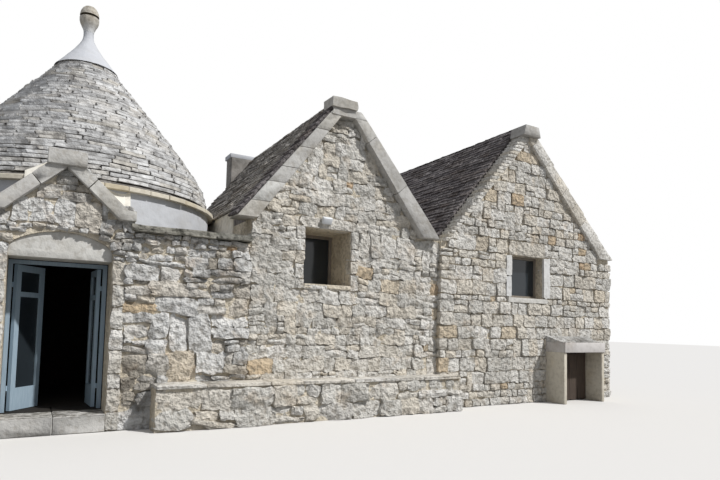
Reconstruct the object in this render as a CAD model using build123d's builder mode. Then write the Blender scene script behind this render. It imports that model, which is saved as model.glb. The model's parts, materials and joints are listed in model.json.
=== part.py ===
from build123d import *
import os
from math import acos, asin, cos, pi, radians, sin

os.makedirs("parts", exist_ok=True)

# A trullo house: a conical stone trullo with a gabled doorway, and two pitched
# rooms (lamie) beside it. Millimetres. The origin is on the ground under the
# point of the cone, +X runs along the facade to the right, +Y goes into the
# house and +Z is up.

# Levels
floor_height = 200
terrace_height = 2360
eaves_rise = 340

# Trullo block, a square room in thick walls
trullo_room = 2600
trullo_front_wall = 800
trullo_side_wall = 650
trullo_far_side_wall = 750
parapet_slab = 80
parapet_depth = 250
parapet_side_depth = 210
parapet_overhang = 40

# Doorway, a little to the left of the cone's axis
door_offset = 270
door_width = 1060
door_head_wall_height = 380
door_setback = 500
threshold_projection = 40
lintel_depth = 450
lintel_setback = 30
lintel_spring = 60
lintel_shoulder_radius = 150
lintel_crown = 310
frame_width = 45
frame_depth = 70

# Door leaves
leaf_thickness = 42
leaf_stile = 75
leaf_bottom_rail = 260
leaf_mid_rail = 60
leaf_top_rail = 80
leaf_mid_height = 1340
leaf_gap = 6
leaf_meeting_gap = 10
leaf_floor_gap = 8
leaf_glass = 6
right_leaf_angle = 86
left_leaf_angle = 52
hinge_inset = 12
hinge_low = 230
hinge_high = 1450
knuckle_radius = 9
knuckle_height = 60
strap_length = 40
strap_thickness = 6
pin_radius = 5
pin_clearance = 0.3

# Gable over the door
door_gable_half_width = 760
door_gable_slope = 0.93
door_gable_coping = 200
door_gable_rise = 860
door_gable_wall_depth = 200
door_gable_coping_projection = 60
kneeler_seat = 120
kneeler_height = 120
door_gable_cap_half_width = 200
door_gable_cap_height = 170
saddle_drop = 30
saddle_left_width = 420
saddle_run = 120
saddle_side_rise = 50
saddle_ridge_rise = 40
saddle_depth = 700

# Round drum, cone and pinnacle
drum_inner_radius = 1300
drum_wall = 560
drum_segment_angle = 90
drum_height = 540
eave_ring_overhang = 75
eave_ring_height = 60
cone_overhang = 30
cone_belly_radius = 1262
cone_belly_rise = 1040
cone_top_radius = 385
cone_rise = 2170
cone_courses = 39
cone_slab_length = 400
fewest_cone_slabs = 12
vault_belly_radius = 830
vault_rise = 1840
vault_bands = 3
cap_edge = 12
cap_waist_radius = 202
cap_waist_height = 260
cap_height = 530
cap_bands = 3
neck_radius = 72
cup_bottom_radius = 88
cup_bottom_height = 120
cup_top_radius = 128
cup_top_height = 285
groove_radius = 98
groove_height = 18
ball_radius = 138
ball_half_height = 100
ball_bands = 4

# Slabs of the pitched roofs, in rows that lap
roof_slab_row = 90
roof_slab_lap = 18

# First pitched room
lamia_wall = 750
lamia_back_wall = 600
lamia_side_wall = 550
left_block_width = 3190
left_ridge_offset = 1380
left_ridge_height = 4700
left_roof_thickness = 210
left_coping_rise = 26
left_eave_overhang = 243
left_slope_foot_inset = 34
left_valley_eave_inset = 80
left_valley_foot_inset = 424
left_coping_cut = 381
left_roof_edge = 250
left_cap_lip = 115
left_cap_height = 170
left_cap_half_width = 215
left_cap_top_half_width = 155
coping_projection = 70
coping_depth = 270
left_back_y = 1800

# Second pitched room
facade_step = 70
right_block_width = 4230
right_ridge_offset = 1930
right_ridge_height = 4980
right_roof_thickness = 280
right_eave_lift = 20
right_eave_overhang = 30
right_slope_foot_inset = 330
right_verge_inset = 100
right_cap_drop = 220
right_cap_height = 190
right_cap_half_width = 210
right_cap_top_half_width = 165
right_back_y = 2100
verge_slab_height = 65
rake_slab_length = 620
rake_slab_lap = 26
valley_wall_left_width = 540
valley_wall_right_width = 610
right_room_side_wall = 620

# Windows
left_window_offset = 790
left_window_width = 750
left_window_bottom = 1810
left_window_height = 860
left_window_setback = 600
right_window_offset = 1550
right_window_width = 800
right_window_bottom = 1850
right_window_height = 750
right_window_setback = 150
sash_width = 45
sash_depth = 55
glass_thickness = 8
sill_height = 60
sill_projection = 40
window_lintel_height = 165
window_lintel_overlap = 40
window_lintel_depth = 300

# Chimney
chimney_offset = 900
chimney_width = 550
chimney_depth = 350
chimney_drop = 20
chimney_cap_height = 85
chimney_cap_overhang = 30

# Bench and stone cabinet along the wall
bench_left = 750
bench_past_valley = 180
bench_depth = 350
bench_height = 500
bench_slab_height = 45
bench_slab_overhang = 40
cabinet_offset = 2420
cabinet_width = 1090
cabinet_depth = 440
cabinet_height = 900
cabinet_panel = 70
cabinet_top_height = 175
cabinet_top_overhang = 25

# Places worked out from the sizes
half_room = trullo_room / 2
front_y = -(half_room + trullo_front_wall)
back_y = -front_y
trullo_right = half_room + trullo_side_wall
trullo_left = -(half_room + trullo_far_side_wall)
door_centre = -door_offset
door_left = door_centre - door_width / 2
door_right = door_centre + door_width / 2
eaves_height = terrace_height + eaves_rise
right_eave_height = eaves_height + right_eave_lift
door_head = terrace_height - door_head_wall_height
door_height = door_head - floor_height
door_gable_apex = terrace_height + door_gable_rise
kneeler_bottom = terrace_height + kneeler_seat
kneeler_top = kneeler_bottom + kneeler_height
cap_seat = door_gable_apex - door_gable_slope * door_gable_cap_half_width
door_gable_cap_top = cap_seat + door_gable_cap_height
door_gable_reach = max(door_gable_cap_top, door_gable_apex + saddle_ridge_rise)
gable_left = door_centre - door_gable_half_width
gable_right = door_centre + door_gable_half_width
drum_radius = drum_inner_radius + drum_wall
eave_ring_radius = drum_radius + eave_ring_overhang
cone_radius = drum_radius + cone_overhang
eave_ring_bottom = terrace_height + drum_height
eave_ring_top = eave_ring_bottom + eave_ring_height
cone_belly_height = eave_ring_top + cone_belly_rise
cone_top_height = eave_ring_top + cone_rise
vault_top_height = eave_ring_top + vault_rise
valley_x = trullo_right + left_block_width
left_ridge_x = trullo_right + left_ridge_offset
left_eave_x = trullo_right - left_eave_overhang
left_eave_slope_foot = trullo_right + left_slope_foot_inset
left_right_eave_x = valley_x - left_valley_eave_inset
left_right_slope_foot = valley_x - left_valley_foot_inset
valley_wall_left = valley_x - valley_wall_left_width
valley_wall_right = valley_x + valley_wall_right_width
right_wall_x = valley_x + right_block_width
right_ridge_x = valley_x + right_ridge_offset
right_eave_x = right_wall_x + right_eave_overhang
right_slope_foot = right_wall_x - right_slope_foot_inset
right_verge_foot = valley_x + right_verge_inset
left_window_x = trullo_right + left_window_offset
right_window_x = valley_x + right_window_offset
chimney_x = trullo_right + chimney_offset
bench_right = valley_x + bench_past_valley
cabinet_left = valley_x + cabinet_offset
left_inner_ridge_height = left_ridge_height - left_roof_thickness
chimney_height = left_ridge_height - chimney_drop
left_apex_height = left_ridge_height + left_coping_rise
left_coping_top = left_apex_height - left_coping_cut
left_cap_bottom = left_coping_top + left_cap_lip
left_cap_top = left_cap_bottom + left_cap_height
right_inner_ridge_height = right_ridge_height - right_roof_thickness
right_coping_top = right_ridge_height - right_cap_drop
right_front_y = front_y - facade_step
left_roof_front = front_y - coping_projection + coping_depth
right_roof_front = right_front_y - coping_projection + coping_depth


def facade(y):
    """Upright plane facing the front at depth y; extruding comes forward."""
    return Plane.XZ.offset(-y)


def outline(*points):
    with BuildLine() as edge:
        Polyline(*points, close=True)
    make_face(edge.edges())


def slab(x_low, x_high, y_low, y_high, z_low, z_high, mode=Mode.ADD):
    with BuildSketch(Plane.XY.offset(z_low)) as footprint:
        with Locations(((x_low + x_high) / 2, (y_low + y_high) / 2)):
            Rectangle(x_high - x_low, y_high - y_low)
    extrude(footprint.sketch, amount=z_high - z_low, mode=mode)


def upright(y_low, y_high, *points):
    with BuildSketch(facade(y_high)) as profile:
        outline(*points)
    extrude(profile.sketch, amount=y_high - y_low)


def banded(bands, *points):
    """Straight bands along an arc through three points, as courses of stone are laid."""
    arc = ThreePointArc(*points)
    return [arc @ (band / bands) for band in range(bands + 1)]


def lapped(foot, head, row, lap):
    """Edge of a slope laid in rows of slabs, each tucked in under the row above it."""
    foot, head = Vector(*foot), Vector(*head)
    rows = round((head - foot).length / row)
    along = (head - foot).normalized()
    side = 1 if along.X > 0 else -1
    tuck = Vector(along.Y * side, -along.X * side) * lap
    edge = []
    for place in range(rows):
        edge.append(foot + (head - foot) * (place / rows))
        edge.append(foot + (head - foot) * ((place + 1) / rows) + tuck)
    edge[-1] = head
    return [(point.X, point.Y) for point in edge]


def crow_stepped(foot, head, step):
    """Edge that climbs from foot to head in level beds."""
    foot, head = Vector(*foot), Vector(*head)
    steps = round((head.Y - foot.Y) / step)
    edge = []
    for place in range(steps):
        low = foot + (head - foot) * (place / steps)
        high = foot + (head - foot) * ((place + 1) / steps)
        edge += [(high.X, low.Y), (high.X, high.Y)]
    return edge


def write(name, piece):
    piece.part.label = name
    export_step(piece.part, f"parts/{name}.step")


# Trullo floor and threshold
with BuildPart() as trullo_floor:
    slab(-half_room, half_room, -half_room, half_room, 0, floor_height)
write("trullo_floor", trullo_floor)

with BuildPart() as door_threshold:
    slab(door_left, door_right, front_y - threshold_projection, -half_room, 0, floor_height)
write("door_threshold", door_threshold)

# Trullo block walls, the front one split beside and over the doorway
with BuildPart() as trullo_front_wall_left:
    slab(trullo_left, door_left, front_y, -half_room, 0, terrace_height)
write("trullo_front_wall_left", trullo_front_wall_left)

with BuildPart() as trullo_front_wall_right:
    slab(door_right, trullo_right, front_y, -half_room, 0, terrace_height)
write("trullo_front_wall_right", trullo_front_wall_right)

with BuildPart() as trullo_left_wall:
    slab(trullo_left, -half_room, -half_room, half_room, 0, terrace_height)
write("trullo_left_wall", trullo_left_wall)

with BuildPart() as trullo_right_wall:
    slab(half_room, trullo_right, -half_room, half_room, 0, terrace_height)
write("trullo_right_wall", trullo_right_wall)

with BuildPart() as trullo_back_wall:
    slab(trullo_left, trullo_right, half_room, back_y, 0, terrace_height)
write("trullo_back_wall", trullo_back_wall)


# Lintel stone with a three-centred head, let into the wall above the door.
# The crown's arc meets each shoulder's arc on the line through both centres.
lintel_rise = lintel_crown - lintel_spring
shoulder_x = door_width / 2 - lintel_shoulder_radius
crown_radius = (shoulder_x**2 + lintel_rise**2 - lintel_shoulder_radius**2) / (
    2 * (lintel_rise - lintel_shoulder_radius)
)
crown_half_angle = asin(shoulder_x / (crown_radius - lintel_shoulder_radius)) * 180 / pi


def lintel_outline():
    spring_z = door_head + lintel_spring
    shoulder_sweep = 90 - crown_half_angle
    with BuildLine() as edge:
        Line((door_left, door_head), (door_right, door_head))
        Line((door_right, door_head), (door_right, spring_z))
        right_shoulder = CenterArc(
            (door_centre + shoulder_x, spring_z), lintel_shoulder_radius, 0, shoulder_sweep
        )
        left_shoulder = CenterArc(
            (door_centre - shoulder_x, spring_z),
            lintel_shoulder_radius,
            180 - shoulder_sweep,
            shoulder_sweep,
        )
        ThreePointArc(
            right_shoulder @ 1, (door_centre, door_head + lintel_crown), left_shoulder @ 0
        )
        Line((door_left, spring_z), (door_left, door_head))
    make_face(edge.edges())


with BuildPart() as door_head_wall:
    slab(door_left, door_right, front_y, -half_room, door_head, terrace_height)
    with BuildSketch(facade(front_y + lintel_setback + lintel_depth)):
        lintel_outline()
    extrude(amount=lintel_setback + lintel_depth, mode=Mode.SUBTRACT)
write("door_head_wall", door_head_wall)

with BuildPart() as door_lintel:
    with BuildSketch(facade(front_y + lintel_setback + lintel_depth)):
        lintel_outline()
    extrude(amount=lintel_depth)
write("door_lintel", door_lintel)

# Parapet slabs round the flat top of the block
with BuildPart() as parapet_coping_front:
    slab(
        gable_right,
        trullo_right,
        front_y - parapet_overhang,
        front_y - parapet_overhang + parapet_depth,
        terrace_height,
        terrace_height + parapet_slab,
    )
write("parapet_coping_front", parapet_coping_front)

with BuildPart() as parapet_coping_rear:
    coping_left = trullo_left - parapet_overhang
    coping_front = front_y - parapet_overhang
    coping_back = back_y + parapet_overhang
    side_right = coping_left + parapet_side_depth
    with BuildSketch(Plane.XY.offset(terrace_height)):
        outline(
            (coping_left, coping_front),
            (gable_left, coping_front),
            (gable_left, coping_front + parapet_depth),
            (side_right, coping_front + parapet_depth),
            (side_right, coping_back - parapet_depth),
            (trullo_right, coping_back - parapet_depth),
            (trullo_right, coping_back),
            (coping_left, coping_back),
        )
    extrude(amount=parapet_slab)
write("parapet_coping_rear", parapet_coping_rear)

# Drum in four segments, seen from above as quarter rings
drum_names = ["drum_right_back", "drum_left_back", "drum_left_front", "drum_right_front"]
for quarter, name in enumerate(drum_names):
    start = drum_segment_angle * quarter
    with BuildPart() as drum_segment:
        with BuildSketch(Plane.XY.offset(terrace_height)):
            with BuildLine():
                outer = CenterArc((0, 0), drum_radius, start, drum_segment_angle)
                inner = CenterArc((0, 0), drum_inner_radius, start, drum_segment_angle)
                Line(outer @ 0, inner @ 0)
                Line(outer @ 1, inner @ 1)
            make_face()
        extrude(amount=drum_height)
    write(name, drum_segment)

# Ring of eave slabs
with BuildPart() as eave_ring:
    with BuildSketch(Plane.XY.offset(eave_ring_bottom)):
        Circle(eave_ring_radius)
        Circle(drum_inner_radius, mode=Mode.SUBTRACT)
    extrude(amount=eave_ring_height)
write("eave_ring", eave_ring)


# Corbelled cone over a pointed vault: each course is a ring of flat-faced slabs,
# turned by half a slab from the one below
cone_steps = banded(
    cone_courses,
    (cone_radius, eave_ring_top),
    (cone_belly_radius, cone_belly_height),
    (cone_top_radius, cone_top_height),
)
vault_edge = banded(
    vault_bands,
    (0, vault_top_height),
    (vault_belly_radius, cone_belly_height),
    (drum_inner_radius, eave_ring_top),
)

cone_outline = []
for foot, head in zip(cone_steps, cone_steps[1:]):
    cone_outline += [(foot.X, foot.Y), (foot.X, head.Y)]

with BuildPart() as trullo_cone:
    courses = []
    for course, (foot, head) in enumerate(zip(cone_steps, cone_steps[1:])):
        slabs_round = max(fewest_cone_slabs, round(2 * pi * foot.X / cone_slab_length))
        with BuildSketch(Plane.XY.offset(foot.Y)) as cone_course:
            RegularPolygon(foot.X, slabs_round, rotation=course % 2 * 180 / slabs_round)
        courses.append(extrude(cone_course.sketch, amount=head.Y - foot.Y, mode=Mode.PRIVATE))
    add(courses)
    with BuildSketch(Plane.XZ) as vault:
        with BuildLine():
            Polyline(*vault_edge)
            Line(vault_edge[-1], (0, eave_ring_top))
            Line((0, eave_ring_top), vault_edge[0])
        make_face()
    revolve(vault.sketch, axis=Axis.Z, mode=Mode.SUBTRACT)
write("trullo_cone", trullo_cone)

# Limewashed cap that flares down from the neck
pinnacle_foot = cone_top_height + cap_height
cap_flare = banded(
    cap_bands,
    (cone_top_radius + cap_edge, cone_top_height),
    (cap_waist_radius, cone_top_height + cap_waist_height),
    (neck_radius, pinnacle_foot),
)
with BuildPart() as cone_cap:
    with BuildSketch(Plane.XZ):
        with BuildLine():
            Polyline((0, cone_top_height), *cap_flare, (0, pinnacle_foot), close=True)
        make_face()
    revolve(axis=Axis.Z)
write("cone_cap", cone_cap)

# Pinnacle, a cup that carries a flattened ball
cup_top = pinnacle_foot + cup_top_height
ball_foot = cup_top + groove_height
ball_start = acos(groove_radius / ball_radius)
ball_centre = ball_foot + ball_half_height * sin(ball_start)
ball_angles = [
    -ball_start + (pi / 2 + ball_start) * band / ball_bands for band in range(ball_bands)
]
with BuildPart() as pinnacle:
    with BuildSketch(Plane.XZ):
        with BuildLine():
            Polyline(
                (0, pinnacle_foot),
                (neck_radius, pinnacle_foot),
                (cup_bottom_radius, pinnacle_foot + cup_bottom_height),
                (cup_top_radius, cup_top),
                (groove_radius, cup_top),
                *[
                    (ball_radius * cos(angle), ball_centre + ball_half_height * sin(angle))
                    for angle in ball_angles
                ],
                (0, ball_centre + ball_half_height),
                close=True,
            )
        make_face()
    revolve(axis=Axis.Z)
write("pinnacle", pinnacle)


# Gable over the door, built against the drum and the cone
def cut_by_trullo():
    lower_courses = [corner for corner in cone_outline if corner[1] < door_gable_reach]
    with BuildSketch(Plane.XZ) as profile:
        with BuildLine():
            Polyline(
                *lower_courses,
                (lower_courses[-1][0], door_gable_reach),
                (0, door_gable_reach),
                (0, terrace_height),
                (drum_radius, terrace_height),
                (drum_radius, eave_ring_bottom),
                (eave_ring_radius, eave_ring_bottom),
                (eave_ring_radius, eave_ring_top),
                close=True,
            )
        make_face()
    revolve(profile.sketch, axis=Axis.Z, mode=Mode.SUBTRACT)


def door_gable_point(distance, height, side=1):
    return (door_centre + side * distance, height)


inner_apex = door_gable_apex - door_gable_coping
inner_foot = (inner_apex - kneeler_bottom) / door_gable_slope
outer_foot = (door_gable_apex - kneeler_top) / door_gable_slope
gable_back_y = front_y + door_gable_wall_depth

with BuildPart() as door_gable_wall:
    upright(
        front_y,
        gable_back_y,
        door_gable_point(door_gable_half_width, terrace_height, -1),
        door_gable_point(door_gable_half_width, terrace_height),
        door_gable_point(door_gable_half_width, kneeler_bottom),
        door_gable_point(inner_foot, kneeler_bottom),
        door_gable_point(0, inner_apex),
        door_gable_point(inner_foot, kneeler_bottom, -1),
        door_gable_point(door_gable_half_width, kneeler_bottom, -1),
    )
    cut_by_trullo()
write("door_gable_wall", door_gable_wall)

for side, name in ((-1, "door_gable_coping_left"), (1, "door_gable_coping_right")):
    with BuildPart() as door_gable_rake:
        upright(
            front_y - door_gable_coping_projection,
            gable_back_y,
            door_gable_point(0, inner_apex),
            door_gable_point(0, cap_seat),
            door_gable_point(door_gable_cap_half_width, cap_seat, side),
            door_gable_point(outer_foot, kneeler_top, side),
            door_gable_point(door_gable_half_width, kneeler_top, side),
            door_gable_point(door_gable_half_width, kneeler_bottom, side),
            door_gable_point(inner_foot, kneeler_bottom, side),
        )
        cut_by_trullo()
    write(name, door_gable_rake)

with BuildPart() as door_gable_capstone:
    slab(
        door_centre - door_gable_cap_half_width,
        door_centre + door_gable_cap_half_width,
        front_y - door_gable_coping_projection,
        gable_back_y,
        cap_seat,
        door_gable_cap_top,
    )
    cut_by_trullo()
write("door_gable_capstone", door_gable_capstone)

# Plaster saddle that climbs from the copings to the cone
saddle_half_width = door_gable_half_width - saddle_drop
saddle_foot = kneeler_top - saddle_drop
saddle_ridge = door_gable_apex - saddle_drop
saddle_left_foot = saddle_ridge - door_gable_slope * saddle_left_width
saddle_shoulder = eave_ring_top + saddle_side_rise
with BuildPart() as door_gable_saddle:
    with BuildSketch(facade(gable_back_y)) as coping_side:
        outline(
            door_gable_point(saddle_left_width, terrace_height, -1),
            door_gable_point(saddle_half_width, terrace_height),
            door_gable_point(saddle_half_width, saddle_foot),
            door_gable_point(outer_foot, saddle_foot),
            door_gable_point(0, saddle_ridge),
            door_gable_point(saddle_left_width, saddle_left_foot, -1),
        )
    with BuildSketch(facade(gable_back_y + saddle_run)) as cone_side:
        outline(
            door_gable_point(saddle_left_width, terrace_height, -1),
            door_gable_point(saddle_half_width, terrace_height),
            door_gable_point(saddle_half_width, saddle_shoulder),
            door_gable_point(outer_foot, saddle_shoulder),
            door_gable_point(0, door_gable_apex + saddle_ridge_rise),
            door_gable_point(saddle_left_width, saddle_shoulder, -1),
        )
    loft(sections=[coping_side.sketch, cone_side.sketch], ruled=True)
    extrude(cone_side.sketch, amount=-saddle_depth)
    cut_by_trullo()
write("door_gable_saddle", door_gable_saddle)

# Door frame, set back in the opening
frame_front = front_y + door_setback
frame_back = frame_front + frame_depth
with BuildPart() as door_frame:
    upright(
        frame_front,
        frame_back,
        (door_left, floor_height),
        (door_left, door_head),
        (door_right, door_head),
        (door_right, floor_height),
        (door_right - frame_width, floor_height),
        (door_right - frame_width, door_head - frame_width),
        (door_left + frame_width, door_head - frame_width),
        (door_left + frame_width, floor_height),
    )
write("door_frame", door_frame)

# Two glazed leaves, hinged behind the inner face of the frame and standing open
leaf_width = (door_width - 2 * frame_width - 2 * leaf_gap - leaf_meeting_gap) / 2
leaf_bottom = floor_height + leaf_floor_gap
leaf_height = door_height - frame_width - leaf_gap - leaf_floor_gap
pane_width = leaf_width - 2 * leaf_stile
low_pane = leaf_mid_height - leaf_bottom_rail
high_pane = leaf_height - leaf_top_rail - leaf_mid_height - leaf_mid_rail
low_centre = leaf_bottom_rail + low_pane / 2
high_centre = leaf_mid_height + leaf_mid_rail + high_pane / 2
hinge_x = door_width / 2 - frame_width - leaf_gap
hinge_y = frame_back + hinge_inset
hinge_heights = (leaf_bottom + hinge_low, leaf_bottom + hinge_high)
leaves = (("right", 1, right_leaf_angle), ("left", -1, left_leaf_angle))
for side_name, side, angle in leaves:
    hinge = (door_centre + side * hinge_x, hinge_y)
    leaf_axis = Plane(
        origin=(*hinge, leaf_bottom),
        x_dir=(-side * cos(radians(angle)), sin(radians(angle)), 0),
        z_dir=(-side * sin(radians(angle)), -cos(radians(angle)), 0),
    )
    # The plane's own upright points down on one side, so heights carry its sign
    up = leaf_axis.y_dir.Z
    with BuildPart() as door_leaf:
        with BuildSketch(leaf_axis.offset(hinge_inset)):
            with Locations((leaf_width / 2, up * leaf_height / 2)):
                Rectangle(leaf_width, leaf_height)
            with Locations((leaf_width / 2, up * low_centre)):
                Rectangle(pane_width, low_pane, mode=Mode.SUBTRACT)
            with Locations((leaf_width / 2, up * high_centre)):
                Rectangle(pane_width, high_pane, mode=Mode.SUBTRACT)
        extrude(amount=leaf_thickness)
        for height in hinge_heights:
            strap_centre = up * (height - leaf_bottom + knuckle_height / 2)
            with BuildSketch(leaf_axis.offset(hinge_inset - strap_thickness)):
                with Locations((strap_length / 2, strap_centre)):
                    Rectangle(strap_length, knuckle_height)
            extrude(amount=strap_thickness)
            with BuildSketch(Plane.XY.offset(height)):
                with Locations(hinge):
                    Circle(knuckle_radius)
            extrude(amount=knuckle_height)
            with BuildSketch(Plane.XY.offset(height)):
                with Locations(hinge):
                    Circle(pin_radius + pin_clearance)
            extrude(amount=knuckle_height, mode=Mode.SUBTRACT)
    write(f"door_leaf_{side_name}", door_leaf)
    with BuildPart() as door_glass:
        with BuildSketch(leaf_axis.offset(hinge_inset + (leaf_thickness - leaf_glass) / 2)):
            with Locations((leaf_width / 2, up * low_centre)):
                Rectangle(pane_width, low_pane)
            with Locations((leaf_width / 2, up * high_centre)):
                Rectangle(pane_width, high_pane)
        extrude(amount=leaf_glass)
    write(f"door_glass_{side_name}", door_glass)

# Pintles on the frame: each leaf sits on two of them
with BuildPart() as door_pintles:
    for side in (1, -1):
        hinge = (door_centre + side * hinge_x, hinge_y)
        for height in hinge_heights:
            knuckle_bottom = height - pin_clearance - knuckle_height
            with BuildSketch(Plane.XY.offset(knuckle_bottom)):
                with Locations(hinge):
                    Circle(knuckle_radius)
                with Locations((hinge[0] + side * strap_length / 2, frame_back + strap_thickness / 2)):
                    Rectangle(strap_length, strap_thickness)
            extrude(amount=knuckle_height)
            with BuildSketch(Plane.XY.offset(height - pin_clearance)):
                with Locations(hinge):
                    Circle(pin_radius)
            extrude(amount=knuckle_height)
write("door_pintles", door_pintles)

# First pitched room: gabled front and back, side wall against the trullo
left_window_right = left_window_x + left_window_width
left_window_top = left_window_bottom + left_window_height
left_wall_x = trullo_right


def left_gable(x_low, x_high):
    return (
        (x_low, 0),
        (x_high, 0),
        (x_high, eaves_height),
        (left_right_slope_foot, eaves_height),
        (left_ridge_x, left_inner_ridge_height),
        (left_eave_slope_foot, eaves_height),
        (x_low, eaves_height),
    )


with BuildPart() as lamia_left_front_wall:
    upright(front_y, front_y + lamia_wall, *left_gable(left_wall_x, valley_x))
    with BuildSketch(facade(front_y + lamia_wall)):
        outline(
            (left_window_x, left_window_bottom),
            (left_window_right, left_window_bottom),
            (left_window_right, left_window_top),
            (left_window_x, left_window_top),
        )
    extrude(amount=lamia_wall, mode=Mode.SUBTRACT)
    lintel_left = left_window_x - window_lintel_overlap
    lintel_right = left_window_right + window_lintel_overlap
    with BuildSketch(facade(front_y + window_lintel_depth)):
        outline(
            (lintel_left, left_window_top),
            (lintel_right, left_window_top),
            (lintel_right, left_window_top + window_lintel_height),
            (lintel_left, left_window_top + window_lintel_height),
        )
    extrude(amount=window_lintel_depth, mode=Mode.SUBTRACT)
write("lamia_left_front_wall", lamia_left_front_wall)

with BuildPart() as left_window_lintel:
    slab(
        lintel_left,
        lintel_right,
        front_y,
        front_y + window_lintel_depth,
        left_window_top,
        left_window_top + window_lintel_height,
    )
write("left_window_lintel", left_window_lintel)

with BuildPart() as lamia_left_back_wall:
    upright(left_back_y - lamia_back_wall, left_back_y, *left_gable(left_wall_x, valley_x))
write("lamia_left_back_wall", lamia_left_back_wall)

left_slope = (left_inner_ridge_height - eaves_height) / (left_ridge_x - left_eave_slope_foot)
right_slope = (left_inner_ridge_height - eaves_height) / (left_right_slope_foot - left_ridge_x)
left_room_x = left_wall_x + lamia_side_wall
with BuildPart() as lamia_left_side_wall:
    upright(
        front_y + lamia_wall,
        left_back_y - lamia_back_wall,
        (left_wall_x, 0),
        (left_room_x, 0),
        (left_room_x, eaves_height + left_slope * (left_room_x - left_eave_slope_foot)),
        (left_eave_slope_foot, eaves_height),
        (left_wall_x, eaves_height),
    )
write("lamia_left_side_wall", lamia_left_side_wall)

# Second pitched room
right_verge_slope = (right_inner_ridge_height - eaves_height) / (right_ridge_x - right_verge_foot)
right_rake_slope = (right_inner_ridge_height - eaves_height) / (right_slope_foot - right_ridge_x)

valley_right_top = eaves_height + right_verge_slope * (valley_wall_right - right_verge_foot)
with BuildPart() as valley_wall:
    upright(
        front_y + lamia_wall,
        left_back_y - lamia_back_wall,
        (valley_wall_left, 0),
        (valley_wall_right, 0),
        (valley_wall_right, valley_right_top),
        (right_verge_foot, eaves_height),
        (left_right_slope_foot, eaves_height),
        (valley_wall_left, eaves_height + right_slope * (left_right_slope_foot - valley_wall_left)),
    )
    upright(
        left_back_y - lamia_back_wall,
        right_back_y - lamia_back_wall,
        (valley_x, 0),
        (valley_wall_right, 0),
        (valley_wall_right, valley_right_top),
        (right_verge_foot, eaves_height),
        (valley_x, eaves_height),
    )
write("valley_wall", valley_wall)

right_gable = (
    (valley_x, 0),
    (right_wall_x, 0),
    (right_wall_x, eaves_height),
    (right_slope_foot, eaves_height),
    (right_ridge_x, right_inner_ridge_height),
    (right_verge_foot, eaves_height),
    (valley_x, eaves_height),
)
right_window_right = right_window_x + right_window_width
right_window_top = right_window_bottom + right_window_height

with BuildPart() as lamia_right_front_wall:
    upright(right_front_y, front_y + lamia_wall, *right_gable)
    with BuildSketch(facade(front_y + lamia_wall)):
        outline(
            (right_window_x, right_window_bottom),
            (right_window_right, right_window_bottom),
            (right_window_right, right_window_top),
            (right_window_x, right_window_top),
        )
    extrude(amount=front_y + lamia_wall - right_front_y, mode=Mode.SUBTRACT)
write("lamia_right_front_wall", lamia_right_front_wall)

with BuildPart() as lamia_right_back_wall:
    upright(right_back_y - lamia_back_wall, right_back_y, *right_gable)
write("lamia_right_back_wall", lamia_right_back_wall)

right_room_x = right_wall_x - right_room_side_wall
with BuildPart() as lamia_right_side_wall:
    upright(
        front_y + lamia_wall,
        right_back_y - lamia_back_wall,
        (right_room_x, 0),
        (right_wall_x, 0),
        (right_wall_x, eaves_height),
        (right_slope_foot, eaves_height),
        (right_room_x, eaves_height + right_rake_slope * (right_slope_foot - right_room_x)),
    )
write("lamia_right_side_wall", lamia_right_side_wall)

# Floors of the two pitched rooms
with BuildPart() as lamia_floors:
    slab(
        left_room_x,
        valley_wall_left,
        front_y + lamia_wall,
        left_back_y - lamia_back_wall,
        0,
        floor_height,
    )
    slab(
        valley_wall_right,
        right_room_x,
        front_y + lamia_wall,
        right_back_y - lamia_back_wall,
        0,
        floor_height,
    )
write("lamia_floors", lamia_floors)

# Stone roofs, one slab of masonry a slope
with BuildPart() as lamia_left_roof_left:
    upright(
        left_roof_front,
        left_back_y,
        (left_wall_x, eaves_height),
        (left_eave_slope_foot, eaves_height),
        (left_ridge_x, left_inner_ridge_height),
        *lapped(
            (left_wall_x, eaves_height + left_roof_edge),
            (left_ridge_x, left_ridge_height),
            roof_slab_row,
            roof_slab_lap,
        )[::-1],
    )
write("lamia_left_roof_left", lamia_left_roof_left)

with BuildPart() as lamia_left_roof_right:
    upright(
        left_roof_front,
        left_back_y,
        (left_ridge_x, left_inner_ridge_height),
        (left_right_slope_foot, eaves_height),
        *lapped(
            (left_right_eave_x, eaves_height),
            (left_ridge_x, left_ridge_height),
            roof_slab_row,
            roof_slab_lap,
        ),
    )
write("lamia_left_roof_right", lamia_left_roof_right)

with BuildPart() as lamia_right_roof_left:
    upright(
        right_roof_front,
        right_back_y,
        (right_ridge_x, right_inner_ridge_height),
        *lapped(
            (valley_x, eaves_height),
            (right_ridge_x, right_ridge_height),
            roof_slab_row,
            roof_slab_lap,
        )[::-1],
        (right_verge_foot, eaves_height),
    )
write("lamia_right_roof_left", lamia_right_roof_left)

with BuildPart() as lamia_right_roof_right:
    upright(
        right_roof_front,
        right_back_y,
        (right_ridge_x, right_inner_ridge_height),
        (right_slope_foot, eaves_height),
        (right_wall_x, eaves_height),
        *lapped(
            (right_wall_x, right_eave_height),
            (right_ridge_x, right_ridge_height),
            roof_slab_row,
            roof_slab_lap,
        ),
    )
write("lamia_right_roof_right", lamia_right_roof_right)

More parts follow.
